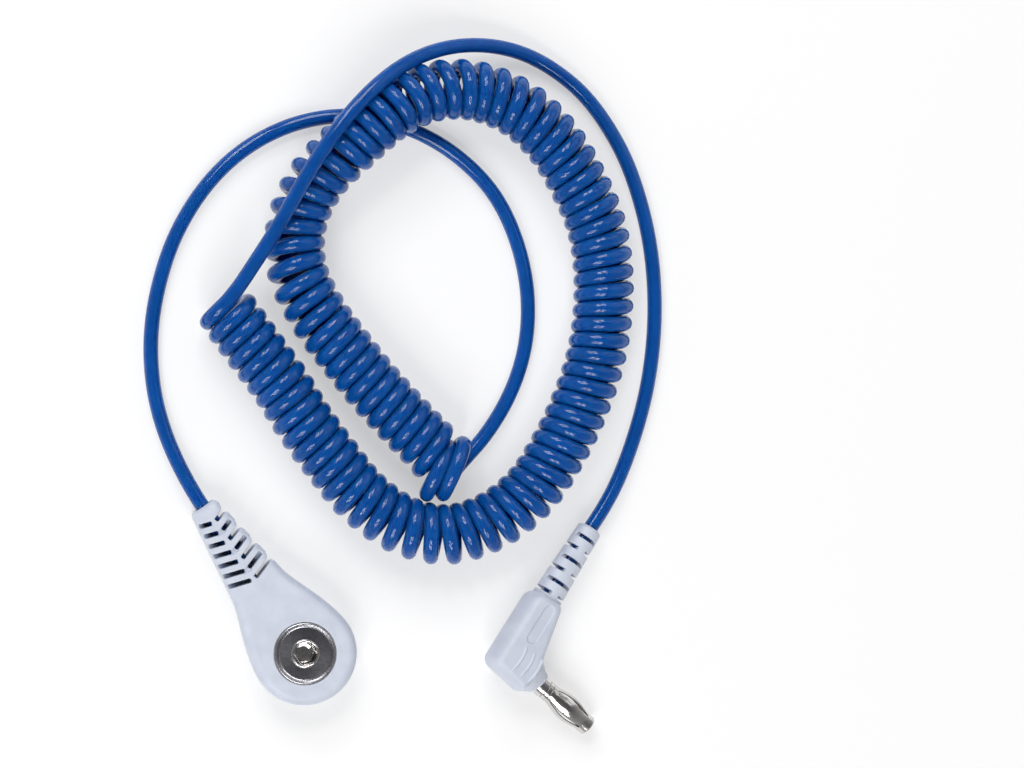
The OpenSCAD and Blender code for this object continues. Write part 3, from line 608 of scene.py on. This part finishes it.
SHELL = soft_shell_look()
CABLE = cable_look()
DISC = turned_look()
BRIGHT = nickel_look("bright_nickel", srgb(212, 209, 208), srgb(228, 225, 223), 0.12)
SPRING = nickel_look("spring_steel", srgb(202, 199, 197), srgb(221, 218, 215), 0.16, (1, 6, 1))
# Nickel painted darker for the core pin: painted shade and dark reflection, where the core lies inside the
# basket.
CORE_SHADE_NICKEL = nickel_look("nickel_painted_shade", srgb(92, 93, 98), srgb(118, 119, 124), 0.3)
IVORY = srgb(224, 222, 212), srgb(234, 232, 222)
BRASS = srgb(188, 168, 104), srgb(208, 187, 122)
COPPER = srgb(176, 104, 62), srgb(200, 126, 78)
OTHER = {
    "socket_carrier": plain_look("carrier_plastic", *IVORY, 0.5),
    "plug_insert": plain_look("insert_plastic", *IVORY, 0.5),
    "terminal_tag": plain_look("tinned_brass", *BRASS, 0.3, 1.0),
    "crimp_terminal": plain_look("turned_brass", *BRASS, 0.28, 1.0),
    "resistor_body": plain_look("resistor_coat", srgb(86, 134, 168), srgb(102, 150, 182), 0.35),
    "resistor_leads": plain_look("tinned_lead", srgb(178, 180, 183), srgb(200, 202, 204), 0.3, 1.0),
    "crimp_ferrule": plain_look("tinned_ferrule", srgb(170, 172, 175), srgb(192, 194, 196), 0.3, 1.0),
    "shrink_sleeve": plain_look("shrink_tube", srgb(36, 36, 39), srgb(48, 48, 51), 0.45),
    "snap_conductor": plain_look("copper_strands", *COPPER, 0.3, 1.0, 1500),
    "plug_conductor": plain_look("copper_core", *COPPER, 0.3, 1.0, 1500),
    "snap_cable_end": CABLE,
    "plug_cable_end": CABLE,
    "spring_wire_left": SPRING,
    "spring_wire_right": SPRING,
}


def dress(piece, material):
    piece.data.materials.clear()
    piece.data.materials.append(material)
    return piece


def hand_over(piece, material, body, nodes):
    """Finishes a piece that stands for CAD nodes."""
    dress(piece, material)
    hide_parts(*nodes)
    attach(piece, body)
    return piece


ROOT = "cord_assembly"

# ---------------------------------------------------------------- the cord itself
cord_middle, cord_thick = cord_line()
cord = tube_curve("blue_cord", cord_middle, cord_thick, CABLE_R, 5)
hand_over(cord, CABLE, ROOT, ["snap_tail", "coil", "plug_tail"])

# ---------------------------------------------------------------- snap connector's housing
HEAD_R, HEAD_H, COLLAR_H = 10.3, 8, 6.2
NECK_W, COLLAR_W, NECK_START = 11.8, 5.7, 15.5
TOP_ROUND, BOTTOM_ROUND, COLLAR_ROUND = 1.9, 0.6, 1.2
SLOTS, SLOT_PITCH, SLOT_W, SLOT_START, SLOT_SLANT = 7, 2.25, 0.95, 17.7, math.radians(18)
SPINE_W, RAIL_W, FLANK_W, GROOVE, BAR_ROUND = 1.0, 0.85, 0.45, 0.6, 1.0
SLOT_DEEP, SLOT_MID, RAIL_RISE, FLANK_RISE = 1.6, 4.2, 1.5, 0.7
FALL_LEAD = 6  # the top begins to fall this far before the neck
ROOM = 0.03  # a cut's clearance on what lies in it
DISC_ROOM, SLEEVE_ROOM = 0.07, 0.05
PAST = 1  # how far a cut runs out of the material
SHRINK_R, SHRINK_START = 1.42, 9
FERRULE_R, FERRULE_START, FERRULE_END, JACKET_START = 1.05, 16, 20.1, 20.5
DISC_D, DISC_T, DISC_TOP = 12.2, 0.6, 8.1
CARRIER_D, FLOOR_T, ARM_W, ARM_END = 14, 0.9, 5, 16.4
NECK_SLOPE = (NECK_W - COLLAR_W) / 2 / (SNAP_REACH - NECK_START)
LEAVE, HEAD_PULL, NECK_PULL, NECK_BEND = math.radians(8), 6, 4, 0.1
HEAD_STEPS, CURVE_STEPS, NECK_STEPS, ROUND_STEPS = 48, 28, 24, 10


def snap_outline(d):
    """Outline of the housing, moved inwards by d."""
    r = HEAD_R - d
    start = (r * math.cos(LEAVE), r * math.sin(LEAVE))
    neck = (NECK_W / 2 - d, NECK_START)
    lean = unit(-NECK_SLOPE - NECK_BEND, 1)
    half = arc(0, 0, r, -90, math.degrees(LEAVE), HEAD_STEPS)
    half += bezier(
        start, (start[0] - HEAD_PULL * math.sin(LEAVE), start[1] + HEAD_PULL * math.cos(LEAVE)),
        (neck[0] - NECK_PULL * lean[0], neck[1] - NECK_PULL * lean[1]), neck, CURVE_STEPS,
    )[1:]
    end = (COLLAR_W / 2 - d, SNAP_REACH - d)
    along, across = end[1] - neck[1], end[0] - neck[0]
    steps = range(1, NECK_STEPS - 2)
    half += [(neck[0] + across * k / NECK_STEPS, neck[1] + along * k / NECK_STEPS) for k in steps]
    half += corner(neck, end, (0, end[1]), max(COLLAR_ROUND - d, MIN_ROUND), ROUND_STEPS)
    return half + [(-x, y) for x, y in reversed(half[1:])]


def neck_half(y):
    """Half the neck's width at a distance y from the socket."""
    return NECK_W / 2 - (y - NECK_START) * NECK_SLOPE


def fall(y):
    """The housing's height at a distance y from the socket, over its height at the socket."""
    t = min(1, max(0, (y - NECK_START + FALL_LEAD) / (SNAP_REACH - NECK_START + FALL_LEAD)))
    return 1 + (COLLAR_H / HEAD_H - 1) * t


def snap_rings():
    """Rings round the housing's outside from its bottom to its top, each an inset and a height."""
    rings = []
    for a in range(0, 91, 15):
        s, c = math.sin(math.radians(a)), math.cos(math.radians(a))
        rings.append((BOTTOM_ROUND * (1 - s), BOTTOM_ROUND * (1 - c)))
    for a in range(0, 91, 9):
        s, c = math.sin(math.radians(a)), math.cos(math.radians(a))
        rings.append((TOP_ROUND * (1 - c), HEAD_H - TOP_ROUND * (1 - s)))
    outer, inner = snap_outline(0), snap_outline(TOP_ROUND)
    out = []
    for d, z in rings:
        k = d / TOP_ROUND
        ring = []
        for (x0, y0), (x1, y1) in zip(outer, inner):
            x, y = x0 + (x1 - x0) * k, y0 + (y1 - y0) * k
            ring.append((x, y, z * fall(y)))
        out.append(ring)
    return out


def snap_solid():
    """The housing's outside; its caps are closed in strips across, because they aren't flat."""
    points, faces, m = walls(snap_rings())
    for top in (0, len(points) - m):
        faces.append((top, top + 1, top + m - 1))
        faces += [(top + i, top + i + 1, top + m - i - 1, top + m - i) for i in range(1, (m - 1) // 2)]
    return solid("snap_shell", points, faces)


def ladder_cutter(level, side):
    """One slot of the ladder. An open one flares where it runs out, which rounds the bars' ends;
    the others are deep beside the spine, and their floor rises to the outside."""
    y = SLOT_START + level * SLOT_PITCH
    w = SLOT_W / 2
    inner = SPINE_W / 2 / math.cos(SLOT_SLANT)
    wall = neck_half(y) / (math.cos(SLOT_SLANT) + side * NECK_SLOPE * math.sin(SLOT_SLANT))
    place = Matrix.Translation((0, y, 0)) @ Matrix.Rotation(side * SLOT_SLANT, 4, "Z")
    if side > 0 and level % 2 == 0:
        f = BAR_ROUND
        low = [(wall - f + f * math.sin(a), -w - f + f * math.cos(a)) for a in np.linspace(0, 1.5, 9)]
        far = wall + 3
        outline = [(inner, -w)] + low + [(far, low[-1][1]), (far, -low[-1][1])]
        outline += [(x, -y1) for x, y1 in reversed(low)] + [(inner, w)]
        return prism("slot", outline, -PAST, HEAD_H + PAST, place)
    end, rise = (wall - RAIL_W, RAIL_RISE) if side > 0 else (wall - FLANK_W, FLANK_RISE)
    deep_to, mid_at = (inner + share * (end - inner) for share in (0.3, 0.6))
    outline = [(inner, SLOT_DEEP), (deep_to, SLOT_DEEP), (mid_at, SLOT_MID)]
    outline += [(end, HEAD_H * fall(y) - rise), (end, HEAD_H + PAST), (inner, HEAD_H + PAST)]
    if side < 0:
        outline = [(-x, z) for x, z in reversed(outline)]
    return prism("slot", outline, -w, w, place @ Matrix.Rotation(math.radians(90), 4, "X"))


def build_snap_shell():
    shell = snap_solid()
    slots = [ladder_cutter(level, side) for level in range(SLOTS) for side in (-1, 1)]
    along = Matrix.Translation((0, 0, CABLE_Z)) @ Matrix.Rotation(math.radians(-90), 4, "X")
    grooves = []
    for level in range(1, SLOTS, 2):
        y = SLOT_START + level * SLOT_PITCH
        low = (-SPINE_W, y - SLOT_W / 2, HEAD_H * fall(y) - GROOVE)
        grooves.append(box("groove", low, (SPINE_W, y + SLOT_W / 2, HEAD_H + PAST)))
    half_arm = ARM_W / 2 + ROOM
    cuts = slots + [
        rod("pocket", DISC_D / 2 + DISC_ROOM, DISC_TOP - DISC_T - ROOM, HEAD_H + 2),
        rod("cavity", CARRIER_D / 2 + ROOM, FLOOR_T - ROOM, DISC_TOP - DISC_T - ROOM),
        box("arm", (-half_arm, 0, FLOOR_T - ROOM), (half_arm, ARM_END + ROOM, CABLE_Z + ROOM)),
        rod("sleeve", SHRINK_R, SHRINK_START, ARM_END + SLEEVE_ROOM, along),
        rod("ferrule", FERRULE_R, FERRULE_START, FERRULE_END, along),
        rod("jacket", CABLE_R + ROOM, JACKET_START, SNAP_REACH + PAST, along),
    ] + grooves
    combine(shell, cuts, "DIFFERENCE")
    moulded(shell, voxel=0.13, rounds=5)
    return placed(shell, AT_SNAP)


snap_shell = build_snap_shell()
hand_over(snap_shell, SHELL, ROOT, ["snap_housing"])

# ---------------------------------------------------------------- plug's housing
BODY_TOP, BODY_FOOT, HALF_T, BODY_CROWN = 15.4, 4.2, 4.3, 2.1
BODY_DEPTH, BODY_W = 12.8, 7.15
MOUTH_R, COLLAR_ROOT, PIN_R = 2.5, 2.4, 2.0
MOUTH_ROOT, MOUTH_ROOT_R, MOUTH_SUNK, MOUTH_BEND = -4.5, HALF_T - 0.2, 1.5, 2.2
INSERT_END, INSERT_R, INSERT_PIN_R, TAIL_LEN = 11.6, 2.8, 3.0, 10.2
INSERT_BACK_ROOM, INSERT_FRONT_ROOM, BORE_ROOM, BORE_BACK, JACKET_ROOM = 0.63, 0.17, 0.13, 0.4, 0.04
ANCHOR_START, ANCHOR_R = 12.0, 2.5
RIBS, RIB_PITCH, RIB_LEN, RIB_H, RIB_W, RIB_SAGITTA = 3, 2.1, 5.7, 0.25, 0.45, 0.45
RIB_ASIDE, RIB_MIDDLE, RIB_STEPS, RIB_AROUND = 0.8, 1.4, 24, 12
RECESS_W, RECESS_LEN, RECESS_DEPTH, RECESS_ASIDE, RECESS_START = 2.3, 8.6, 0.25, 0.4, 5
SLEEVE_ROOT_R, SLEEVE_END_R, SLEEVE_ROUND, SLEEVE_SUNK = 3.15, 2.5, 0.8, 0.6
SLEEVE_SLOTS, SLEEVE_PITCH, SLEEVE_SLOT_W, SLEEVE_FLOOR, SLEEVE_FIRST = 6, 2.62, 0.8, 0.8, 0.55
MOUTH_BACK, MOUTH_SLANT = 0.7, LEAN + math.radians(7)
TO_CABLE = Matrix.Translation((-CABLE_SETBACK, 0, 0)) @ Matrix.Rotation(math.radians(-90), 4, "X")
TO_PIN = Matrix.Rotation(-LEAN, 4, "Z") @ Matrix.Rotation(math.radians(90), 4, "Y")
BODY_CORNERS = [
    (-3.2, 0.25 - BODY_FOOT, 1.3), (-2.4, 0, 2), (-3.5, 5.8, 5), (BODY_W - BODY_DEPTH, BODY_TOP, 1.9),
    (-BODY_DEPTH, BODY_TOP, 2.6), (-BODY_DEPTH, 1.6 - BODY_FOOT, 2.2),
]


def body_slab():
    """The body, crowned from its edges to its two flat faces."""
    outer, inner = rounded(BODY_CORNERS, 14), rounded(inset(BODY_CORNERS, BODY_CROWN), 14)
    rings = []
    for a in range(-90, 91, 6):
        k = 1 - max(0.0, math.cos(math.radians(a))) ** 0.8
        z = HALF_T * math.sin(math.radians(a))
        pairs = zip(outer, inner)
        rings.append([(x0 + (x1 - x0) * k, y0 + (y1 - y0) * k, z) for (x0, y0), (x1, y1) in pairs])
    points, faces, m = walls(rings)
    faces += [tuple(range(m)), tuple(range(len(points) - m, len(points)))]
    return solid("plug_shell", points, faces)


def mouth_neck():
    """The neck round the pin, flared into the body and cut off slantwise at the mouth."""
    r0, root = MOUTH_ROOT_R, MOUTH_ROOT
    profile = [(0, root - MOUTH_SUNK), (r0 - 0.6, root - MOUTH_SUNK)]
    profile += bezier((r0, root), (r0, root + MOUTH_BEND), (MOUTH_R, -2), (MOUTH_R, -0.3), 16)
    profile += [(MOUTH_R - 0.08, -0.08), (MOUTH_R - 0.25, 0), (0, 0)]
    neck = lathe("neck", profile, 72, TO_PIN)
    slant = Matrix.Translation((-MOUTH_BACK, 0, 0)) @ Matrix.Rotation(-MOUTH_SLANT, 4, "Z")
    wide = 2 * MOUTH_R
    return combine(neck, [box("end", (0, -wide, -wide), (wide, wide, wide), slant)], "DIFFERENCE")


def grip_rib(index, face):
    """A thin raised arc across the face, as a bent rod half sunk in it."""
    bend = (RIB_LEN ** 2 / 4 + RIB_SAGITTA ** 2) / (2 * RIB_SAGITTA)
    sweep = math.asin(RIB_LEN / 2 / bend)
    cx = -CABLE_SETBACK + RIB_ASIDE + index * RIB_PITCH - bend
    rings = []
    for k in range(RIB_STEPS + 1):
        a = -sweep + 2 * sweep * k / RIB_STEPS
        full = min(1, 4 * min(k, RIB_STEPS - k) / RIB_STEPS + 0.35)  # less towards the ends
        ring = []
        for j in range(RIB_AROUND):
            b = 2 * math.pi * j / RIB_AROUND
            r = bend + RIB_W / 2 * full * math.cos(b)
            z = face * (HALF_T - 0.02) + RIB_H * full * math.sin(b)
            ring.append((cx + r * math.cos(a), RIB_MIDDLE + r * math.sin(a), z))
        rings.append(ring)
    return stacked("rib", rings)


def oval(cx, y0, width, length, n):
    """Outline of a slot with round ends, which starts at y0."""
    r = width / 2
    return arc(cx, y0 + length - r, r, 0, 180, n) + arc(cx, y0 + r, r, 180, 360, n)


def sleeve_profile():
    """Outline of the strain relief's outside, as (radius, distance)."""
    y0 = BODY_TOP - SLEEVE_SUNK
    end = arc(SLEEVE_END_R - SLEEVE_ROUND, SLEEVE_END - SLEEVE_ROUND, SLEEVE_ROUND, 0, 90, 10)
    return [(0, y0), (SLEEVE_ROOT_R, y0)] + end + [(0, SLEEVE_END)]


def build_plug_shell():
    shell = body_slab()
    combine(shell, [mouth_neck()], "UNION")
    outline = oval(-CABLE_SETBACK + RECESS_ASIDE, RECESS_START, RECESS_W, RECESS_LEN, 20)
    cuts = [
        prism("recess", outline, HALF_T - RECESS_DEPTH, HALF_T + PAST),
        rod(
            "pin_room", INSERT_PIN_R + ROOM, -TAIL_LEN - INSERT_BACK_ROOM,
            -COLLAR_ROOT - INSERT_FRONT_ROOM, TO_PIN,
        ),
        rod("bore", PIN_R + BORE_ROOM, -COLLAR_ROOT - BORE_BACK, PAST, TO_PIN),
        rod("room", INSERT_R + ROOM, 0, INSERT_END + ROOM, TO_CABLE),
        rod("anchor", ANCHOR_R + ROOM, INSERT_END - 1, BODY_TOP + 3, TO_CABLE),
    ]
    combine(shell, cuts, "DIFFERENCE")
    ribs = [grip_rib(i, face) for i in range(RIBS) for face in (1, -1)]
    combine(shell, ribs, "UNION")
    moulded(shell, voxel=0.11, rounds=3)
    return placed(shell, AT_PLUG)


def build_relief():
    """The slotted sleeve, whose pairs of slots turn by 90 degrees from one to the next."""
    relief = lathe("plug_relief", sleeve_profile(), 80, TO_CABLE)
    wide, half = 2 * SLEEVE_ROOT_R + 1, SLEEVE_SLOT_W / 2
    cuts = []
    for i in range(SLEEVE_SLOTS):
        y = BODY_TOP + SLEEVE_FIRST + i * SLEEVE_PITCH
        turn = Matrix.Translation((-CABLE_SETBACK, y, 0))
        turn @= Matrix.Rotation(math.radians(90 if i % 2 == 0 else 0), 4, "Y")
        for low, high in ((-SLEEVE_FLOOR - wide, -SLEEVE_FLOOR), (SLEEVE_FLOOR, SLEEVE_FLOOR + wide)):
            cuts.append(box("cut", (-wide / 2, -half, low), (wide / 2, half, high), turn))
    cuts.append(rod("jacket", CABLE_R + JACKET_ROOM, ANCHOR_START - 1, SLEEVE_END + PAST, TO_CABLE))
    combine(relief, [rod("anchor", ANCHOR_R, ANCHOR_START, BODY_TOP, TO_CABLE)], "UNION")
    combine(relief, cuts, "DIFFERENCE")
    moulded(relief, voxel=0.09, rounds=4)
    return placed(relief, AT_PLUG)


plug_shell = build_plug_shell()
hand_over(plug_shell, SHELL, ROOT, ["plug_housing"])
plug_relief = build_relief()
hand_over(plug_relief, SHELL, ROOT, ["plug_strain_relief"])

# ---------------------------------------------------------------- socket
LIP_R, LIP_H, BORE_R, LIP_OVER, GAP = 2.85, 0.45, 2.25, 0.35, 0.02
RIM_ROUND = 0.32
DISC_BOTTOM = DISC_TOP - DISC_T
FLARE_BOTTOM = DISC_BOTTOM - 0.25


def build_disc():
    """The face, a fine groove near its edge and a rolled rim."""
    rim, hole = DISC_D / 2, LIP_R - LIP_OVER
    profile = [(hole, DISC_BOTTOM), (rim, DISC_BOTTOM)]
    profile += arc(rim - RIM_ROUND, DISC_TOP - RIM_ROUND, RIM_ROUND, 0, 120, 16)
    groove = [(0.58, 0.17), (0.68, 0.2), (0.78, 0.12), (0.9, 0.04), (1, 0.03)]
    profile += [(rim - inwards, DISC_TOP - down) for inwards, down in groove] + [(hole, DISC_TOP - 0.03)]
    return smooth(placed(lathe("socket_disc", profile, around=200), AT_SNAP), degrees=45)


def build_eyelet():
    """The barrel through the disc, flared below it and rolled into the lip above it."""
    lip_c = (BORE_R + LIP_R) / 2
    half = (LIP_R - BORE_R) / 2
    barrel = LIP_R - LIP_OVER - GAP
    top, under = DISC_TOP + GAP, DISC_BOTTOM - GAP
    profile = [(BORE_R, FLARE_BOTTOM), (LIP_R, FLARE_BOTTOM), (LIP_R, under), (barrel, under)]
    profile += [(barrel, top), (LIP_R, top)]
    rolled = [math.radians(a) for a in range(8, 176, 8)]
    profile += [(lip_c + half * math.cos(a), top + LIP_H * math.sin(a)) for a in rolled]
    profile.append((BORE_R, top))
    return smooth(placed(lathe("socket_lip", profile, around=128), AT_SNAP), degrees=40)


disc = build_disc()
hand_over(disc, DISC, ROOT, ["socket_plate"])
lip = build_eyelet()
hand_over(lip, BRIGHT, ROOT, ["socket_eyelet"])

# ---------------------------------------------------------------- banana pin
PIN_LEN, COLLAR_LEN, CORE_R, SPIN_GAP = 13.4, 2.0, 1.2, 0.05
RING_R = PIN_R - 0.03
BULGE_R, LEAF_T, LEAVES, LEAF_SLOT_W, LEAF_PHASE = 2.65, 0.3, 4, 0.45, 50
LEAF_STEPS, SLOT_STEPS, SLOT_SHORT, SLOT_WIDENS = 44, 25, 0.05, 0.45
BASKET_START = COLLAR_LEN + 0.08
LEAF_START, LEAF_END = BASKET_START + 1.1, PIN_LEN - 1.9
BUSH_END, NOSE_R, NOSE_WALL, HEAD_SINK = PIN_LEN - 0.9, 0.5, 0.35, 0.5
CHAMFER = 0.08
STEP_AT, STEP_END = COLLAR_LEN * 0.45, COLLAR_LEN * 0.6


def leaf_r(t):
    """The basket's radius at a share t of the leaves' length."""
    return RING_R + (PIN_R - RING_R) * t + (BULGE_R - RING_R) * max(0.0, math.sin(math.pi * t)) ** 1.2


def along_leaf(t):
    return LEAF_START + (LEAF_END - LEAF_START) * t


def leaf_slot():
    """Outline of the gap between two leaves, a little wider where they bow out."""
    r = LEAF_SLOT_W / 2
    start, end = LEAF_START + r + SLOT_SHORT, LEAF_END - r - SLOT_SHORT
    shares = [i / SLOT_STEPS for i in range(1, SLOT_STEPS)]
    edge = [(r + SLOT_WIDENS * (leaf_r(t) - PIN_R), start + (end - start) * t) for t in shares]
    outline = arc(0, start, r, 183, 357, 14) + edge
    return outline + arc(0, end, r, 3, 177, 14) + [(-x, y) for x, y in reversed(edge)]


def build_basket():
    """The leaf spring between its two rings, with the rolled nose."""
    bore = CORE_R + SPIN_GAP
    shares = [i / LEAF_STEPS for i in range(LEAF_STEPS + 1)]
    profile = [(bore, BASKET_START), (RING_R - CHAMFER, BASKET_START), (RING_R, BASKET_START + CHAMFER)]
    profile += [(leaf_r(t), along_leaf(t)) for t in shares]
    profile += [(PIN_R, PIN_LEN - NOSE_R)]
    profile += arc(PIN_R - NOSE_R, PIN_LEN - NOSE_R, NOSE_R, 8, 90, 10)
    profile += [
        (PIN_R - NOSE_R - NOSE_WALL + 0.1, PIN_LEN), (PIN_R - NOSE_WALL, PIN_LEN - 0.4),
        (PIN_R - NOSE_WALL, BUSH_END), (bore, BUSH_END), (bore, LEAF_END + 0.4),
    ]
    profile += [(leaf_r(t) - LEAF_T, along_leaf(t)) for t in reversed(shares)]
    profile.append((bore, LEAF_START - 0.2))
    basket = lathe("leaf_basket", profile, around=144)
    outwards = Matrix(((0, 0, 1, 0), (1, 0, 0, 0), (0, 1, 0, 0), (0, 0, 0, 1)))
    cuts = []
    for i in range(LEAVES):
        turn = Matrix.Rotation(math.radians(LEAF_PHASE + 360 / LEAVES * i), 4, "Z") @ outwards
        cuts.append(prism("slot", leaf_slot(), 0, 2 * PIN_R, turn))
    combine(basket, cuts, "DIFFERENCE")
    return smooth(placed(basket, ALONG_PIN), degrees=35)


def build_collar():
    """The stepped collar: a wider shoulder, a groove and a ring."""
    shoulder, groove, chamfer, bore = PIN_R + 0.1, PIN_R - 0.25, 0.06, CORE_R + GAP
    profile = [
        (bore, -COLLAR_ROOT), (shoulder, -COLLAR_ROOT), (shoulder, STEP_AT - CHAMFER),
        (shoulder - CHAMFER, STEP_AT), (groove, STEP_AT + 0.02), (groove, STEP_END),
        (PIN_R - chamfer, STEP_END), (PIN_R, STEP_END + chamfer), (PIN_R, COLLAR_LEN - chamfer),
        (PIN_R - chamfer, COLLAR_LEN), (bore, COLLAR_LEN),
    ]
    return smooth(placed(lathe("stepped_collar", profile), ALONG_PIN), degrees=30)


def build_core():
    """The core pin with its riveted head, sunk in the basket's nose."""
    head, edge = CORE_R + 0.4, 0.1
    end = PIN_LEN - HEAD_SINK
    profile = [
        (0, -TAIL_LEN), (CORE_R - edge, -TAIL_LEN), (CORE_R, -TAIL_LEN + edge), (CORE_R, BUSH_END + edge),
        (head, BUSH_END + edge), (head, end - edge), (head - edge, end), (0, end),
    ]
    return smooth(placed(lathe("pin_rod", profile, around=64), ALONG_PIN), degrees=30)


basket = build_basket()
hand_over(basket, SPRING, "basket", ["contact_basket"])
collar = build_collar()
hand_over(collar, BRIGHT, ROOT, ["base_collar"])
# The core pin wears the darker nickel, painted shade inside the basket's slots.
core = build_core()
hand_over(core, CORE_SHADE_NICKEL, ROOT, ["pin_core"])

for name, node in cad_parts.items():
    if not node.hide_render:
        dress(node, OTHER.get(name, BRIGHT))

# ---------------------------------------------------------------- floor, world and lamps
CENTRE = Vector((20, 53, 0)) * MM
FLOOR_SIZE, FLOOR_LIFT = 1.2, 0.5
BOX_DISTANCE, BOX_SIZE, BOX_POWER, BOX_GAP = 1.1, 0.6, 7.9, 0.14
FILL_SIZE, FILL_POWER = 0.8, 1.2


def make_floor():
    """Pale floor; the camera and reflections see it lifted towards white, with the shadows kept."""
    bm = bmesh.new()
    for x in (-1, 1):
        for y in (-1, 1):
            bm.verts.new((CENTRE.x + x * FLOOR_SIZE, CENTRE.y + y * FLOOR_SIZE, 0))
    bmesh.ops.contextual_create(bm, geom=bm.verts)
    mesh = bpy.data.meshes.new("floor")
    bm.to_mesh(mesh)
    bm.free()
    floor = new_piece("floor", mesh)
    m = bpy.data.materials.new("floor")
    m.use_nodes = True
    nodes, links = m.node_tree.nodes, m.node_tree.links
    shader = nodes["Principled BSDF"]
    shader.inputs["Base Color"].default_value = (0.95, 0.95, 0.95, 1)
    shader.inputs["Roughness"].default_value = 0.9
    shader.inputs["Specular IOR Level"].default_value = 0.1
    path = nodes.new("ShaderNodeLightPath")
    share = path.outputs["Is Camera Ray"]
    for kind in ("Is Glossy Ray", "Is Transmission Ray"):
        either = nodes.new("ShaderNodeMath")
        either.operation = "MAXIMUM"
        links.new(share, either.inputs[0])
        links.new(path.outputs[kind], either.inputs[1])
        share = either.outputs[0]
    part = nodes.new("ShaderNodeMath")
    part.operation = "MULTIPLY"
    part.inputs[1].default_value = FLOOR_LIFT
    links.new(share, part.inputs[0])
    white = nodes.new("ShaderNodeEmission")
    mix = nodes.new("ShaderNodeMixShader")
    links.new(part.outputs[0], mix.inputs[0])
    links.new(shader.outputs[0], mix.inputs[1])
    links.new(white.outputs[0], mix.inputs[2])
    links.new(mix.outputs[0], nodes["Material Output"].inputs["Surface"])
    dress(floor, m)


def make_world():
    """Dim studio, darker overhead."""
    world = bpy.data.worlds.new("studio")
    bpy.context.scene.world = world
    world.use_nodes = True
    nodes, links = world.node_tree.nodes, world.node_tree.links
    where = nodes.new("ShaderNodeTexCoord")
    split = nodes.new("ShaderNodeSeparateXYZ")
    links.new(where.outputs["Generated"], split.inputs[0])
    ramp = nodes.new("ShaderNodeValToRGB")
    ramp.color_ramp.elements[0].position = 0.1
    ramp.color_ramp.elements[0].color = (0.4, 0.4, 0.405, 1)
    ramp.color_ramp.elements[1].position = 0.9
    ramp.color_ramp.elements[1].color = (0.1, 0.1, 0.105, 1)
    links.new(split.outputs["Z"], ramp.inputs["Fac"])
    links.new(ramp.outputs["Color"], nodes["Background"].inputs["Color"])


def make_soft_box(name, toward, distance, size, power):
    """A square soft box of four panes that looks at the object."""
    way = Vector(toward).normalized()
    turn = way.to_track_quat("Z", "Y").to_matrix().to_4x4()
    pane = size * (1 - BOX_GAP) / 2
    for i in (-1, 1):
        for j in (-1, 1):
            data = bpy.data.lights.new(name, "AREA")
            data.shape = "SQUARE"
            data.size = pane
            data.energy = power / 4
            lamp = bpy.data.objects.new(name, data)
            bpy.context.scene.collection.objects.link(lamp)
            step = Matrix.Translation((i * (size - pane) / 2, j * (size - pane) / 2, 0))
            lamp.matrix_world = Matrix.Translation(CENTRE + way * distance) @ turn @ step


make_floor()
make_world()
for name, y in (("box_front", -0.98), ("box_back", 0.98)):
    make_soft_box(name, (-0.3, y, 1.0), BOX_DISTANCE, BOX_SIZE, BOX_POWER)
make_soft_box("fill", (0.9, 0.75, 0.85), BOX_DISTANCE, FILL_SIZE, FILL_POWER)


# ---------------------------------------------------------------- where things show in the photograph's frame
def vertices(*pieces):
    """Where every finished vertex of the pieces shows."""
    out = []
    graph = bpy.context.evaluated_depsgraph_get()
    for p in pieces:
        e = p.evaluated_get(graph)
        mesh = e.to_mesh()
        co = np.zeros(len(mesh.vertices) * 3)
        mesh.vertices.foreach_get("co", co)
        world = np.array(e.matrix_world)
        out.append(co.reshape(-1, 3) @ world[:3, :3].T + world[:3, 3])
        e.to_mesh_clear()
    return np.array([shown_at(p) for p in np.concatenate(out)])


def write_points():
    body = vertices(snap_shell, plug_shell, plug_relief, basket, collar)
    blue = vertices(cord)
    first = blue[(blue[:, 1] > 305) & (blue[:, 1] < 345) & (blue[:, 0] > 180) & (blue[:, 0] < 230)]
    shown = {
        "snap_left": (body[body[:, 0] < 400][:, 0].min(), None),
        "relief_right": (vertices(plug_relief)[:, 0].max(), None),
        "snap_top": (None, vertices(snap_shell)[:, 1].min()),
        "pin_bottom": (None, vertices(basket)[:, 1].max()),
        "socket_centre": shown_at(AT_SNAP @ Vector((0, 0, DISC_TOP + LIP_H)) * MM),
        "snap_cable_exit": shown_at(AT_SNAP @ Vector((0, SNAP_REACH, CABLE_Z)) * MM),
        "plug_cable_exit": shown_at(ALONG_CABLE @ Vector((0, SLEEVE_END, 0)) * MM),
        "pin_tip": shown_at(ALONG_PIN @ Vector((0, 0, PIN_LEN)) * MM),
        "coil_first_turn": tuple(first[first[:, 0].argmin()]),
        "cable_top": (None, blue[:, 1].min()),
        "cable_left": (blue[:, 0].min(), None),
        "cable_right": (blue[:, 0].max(), None),
    }


write_points()
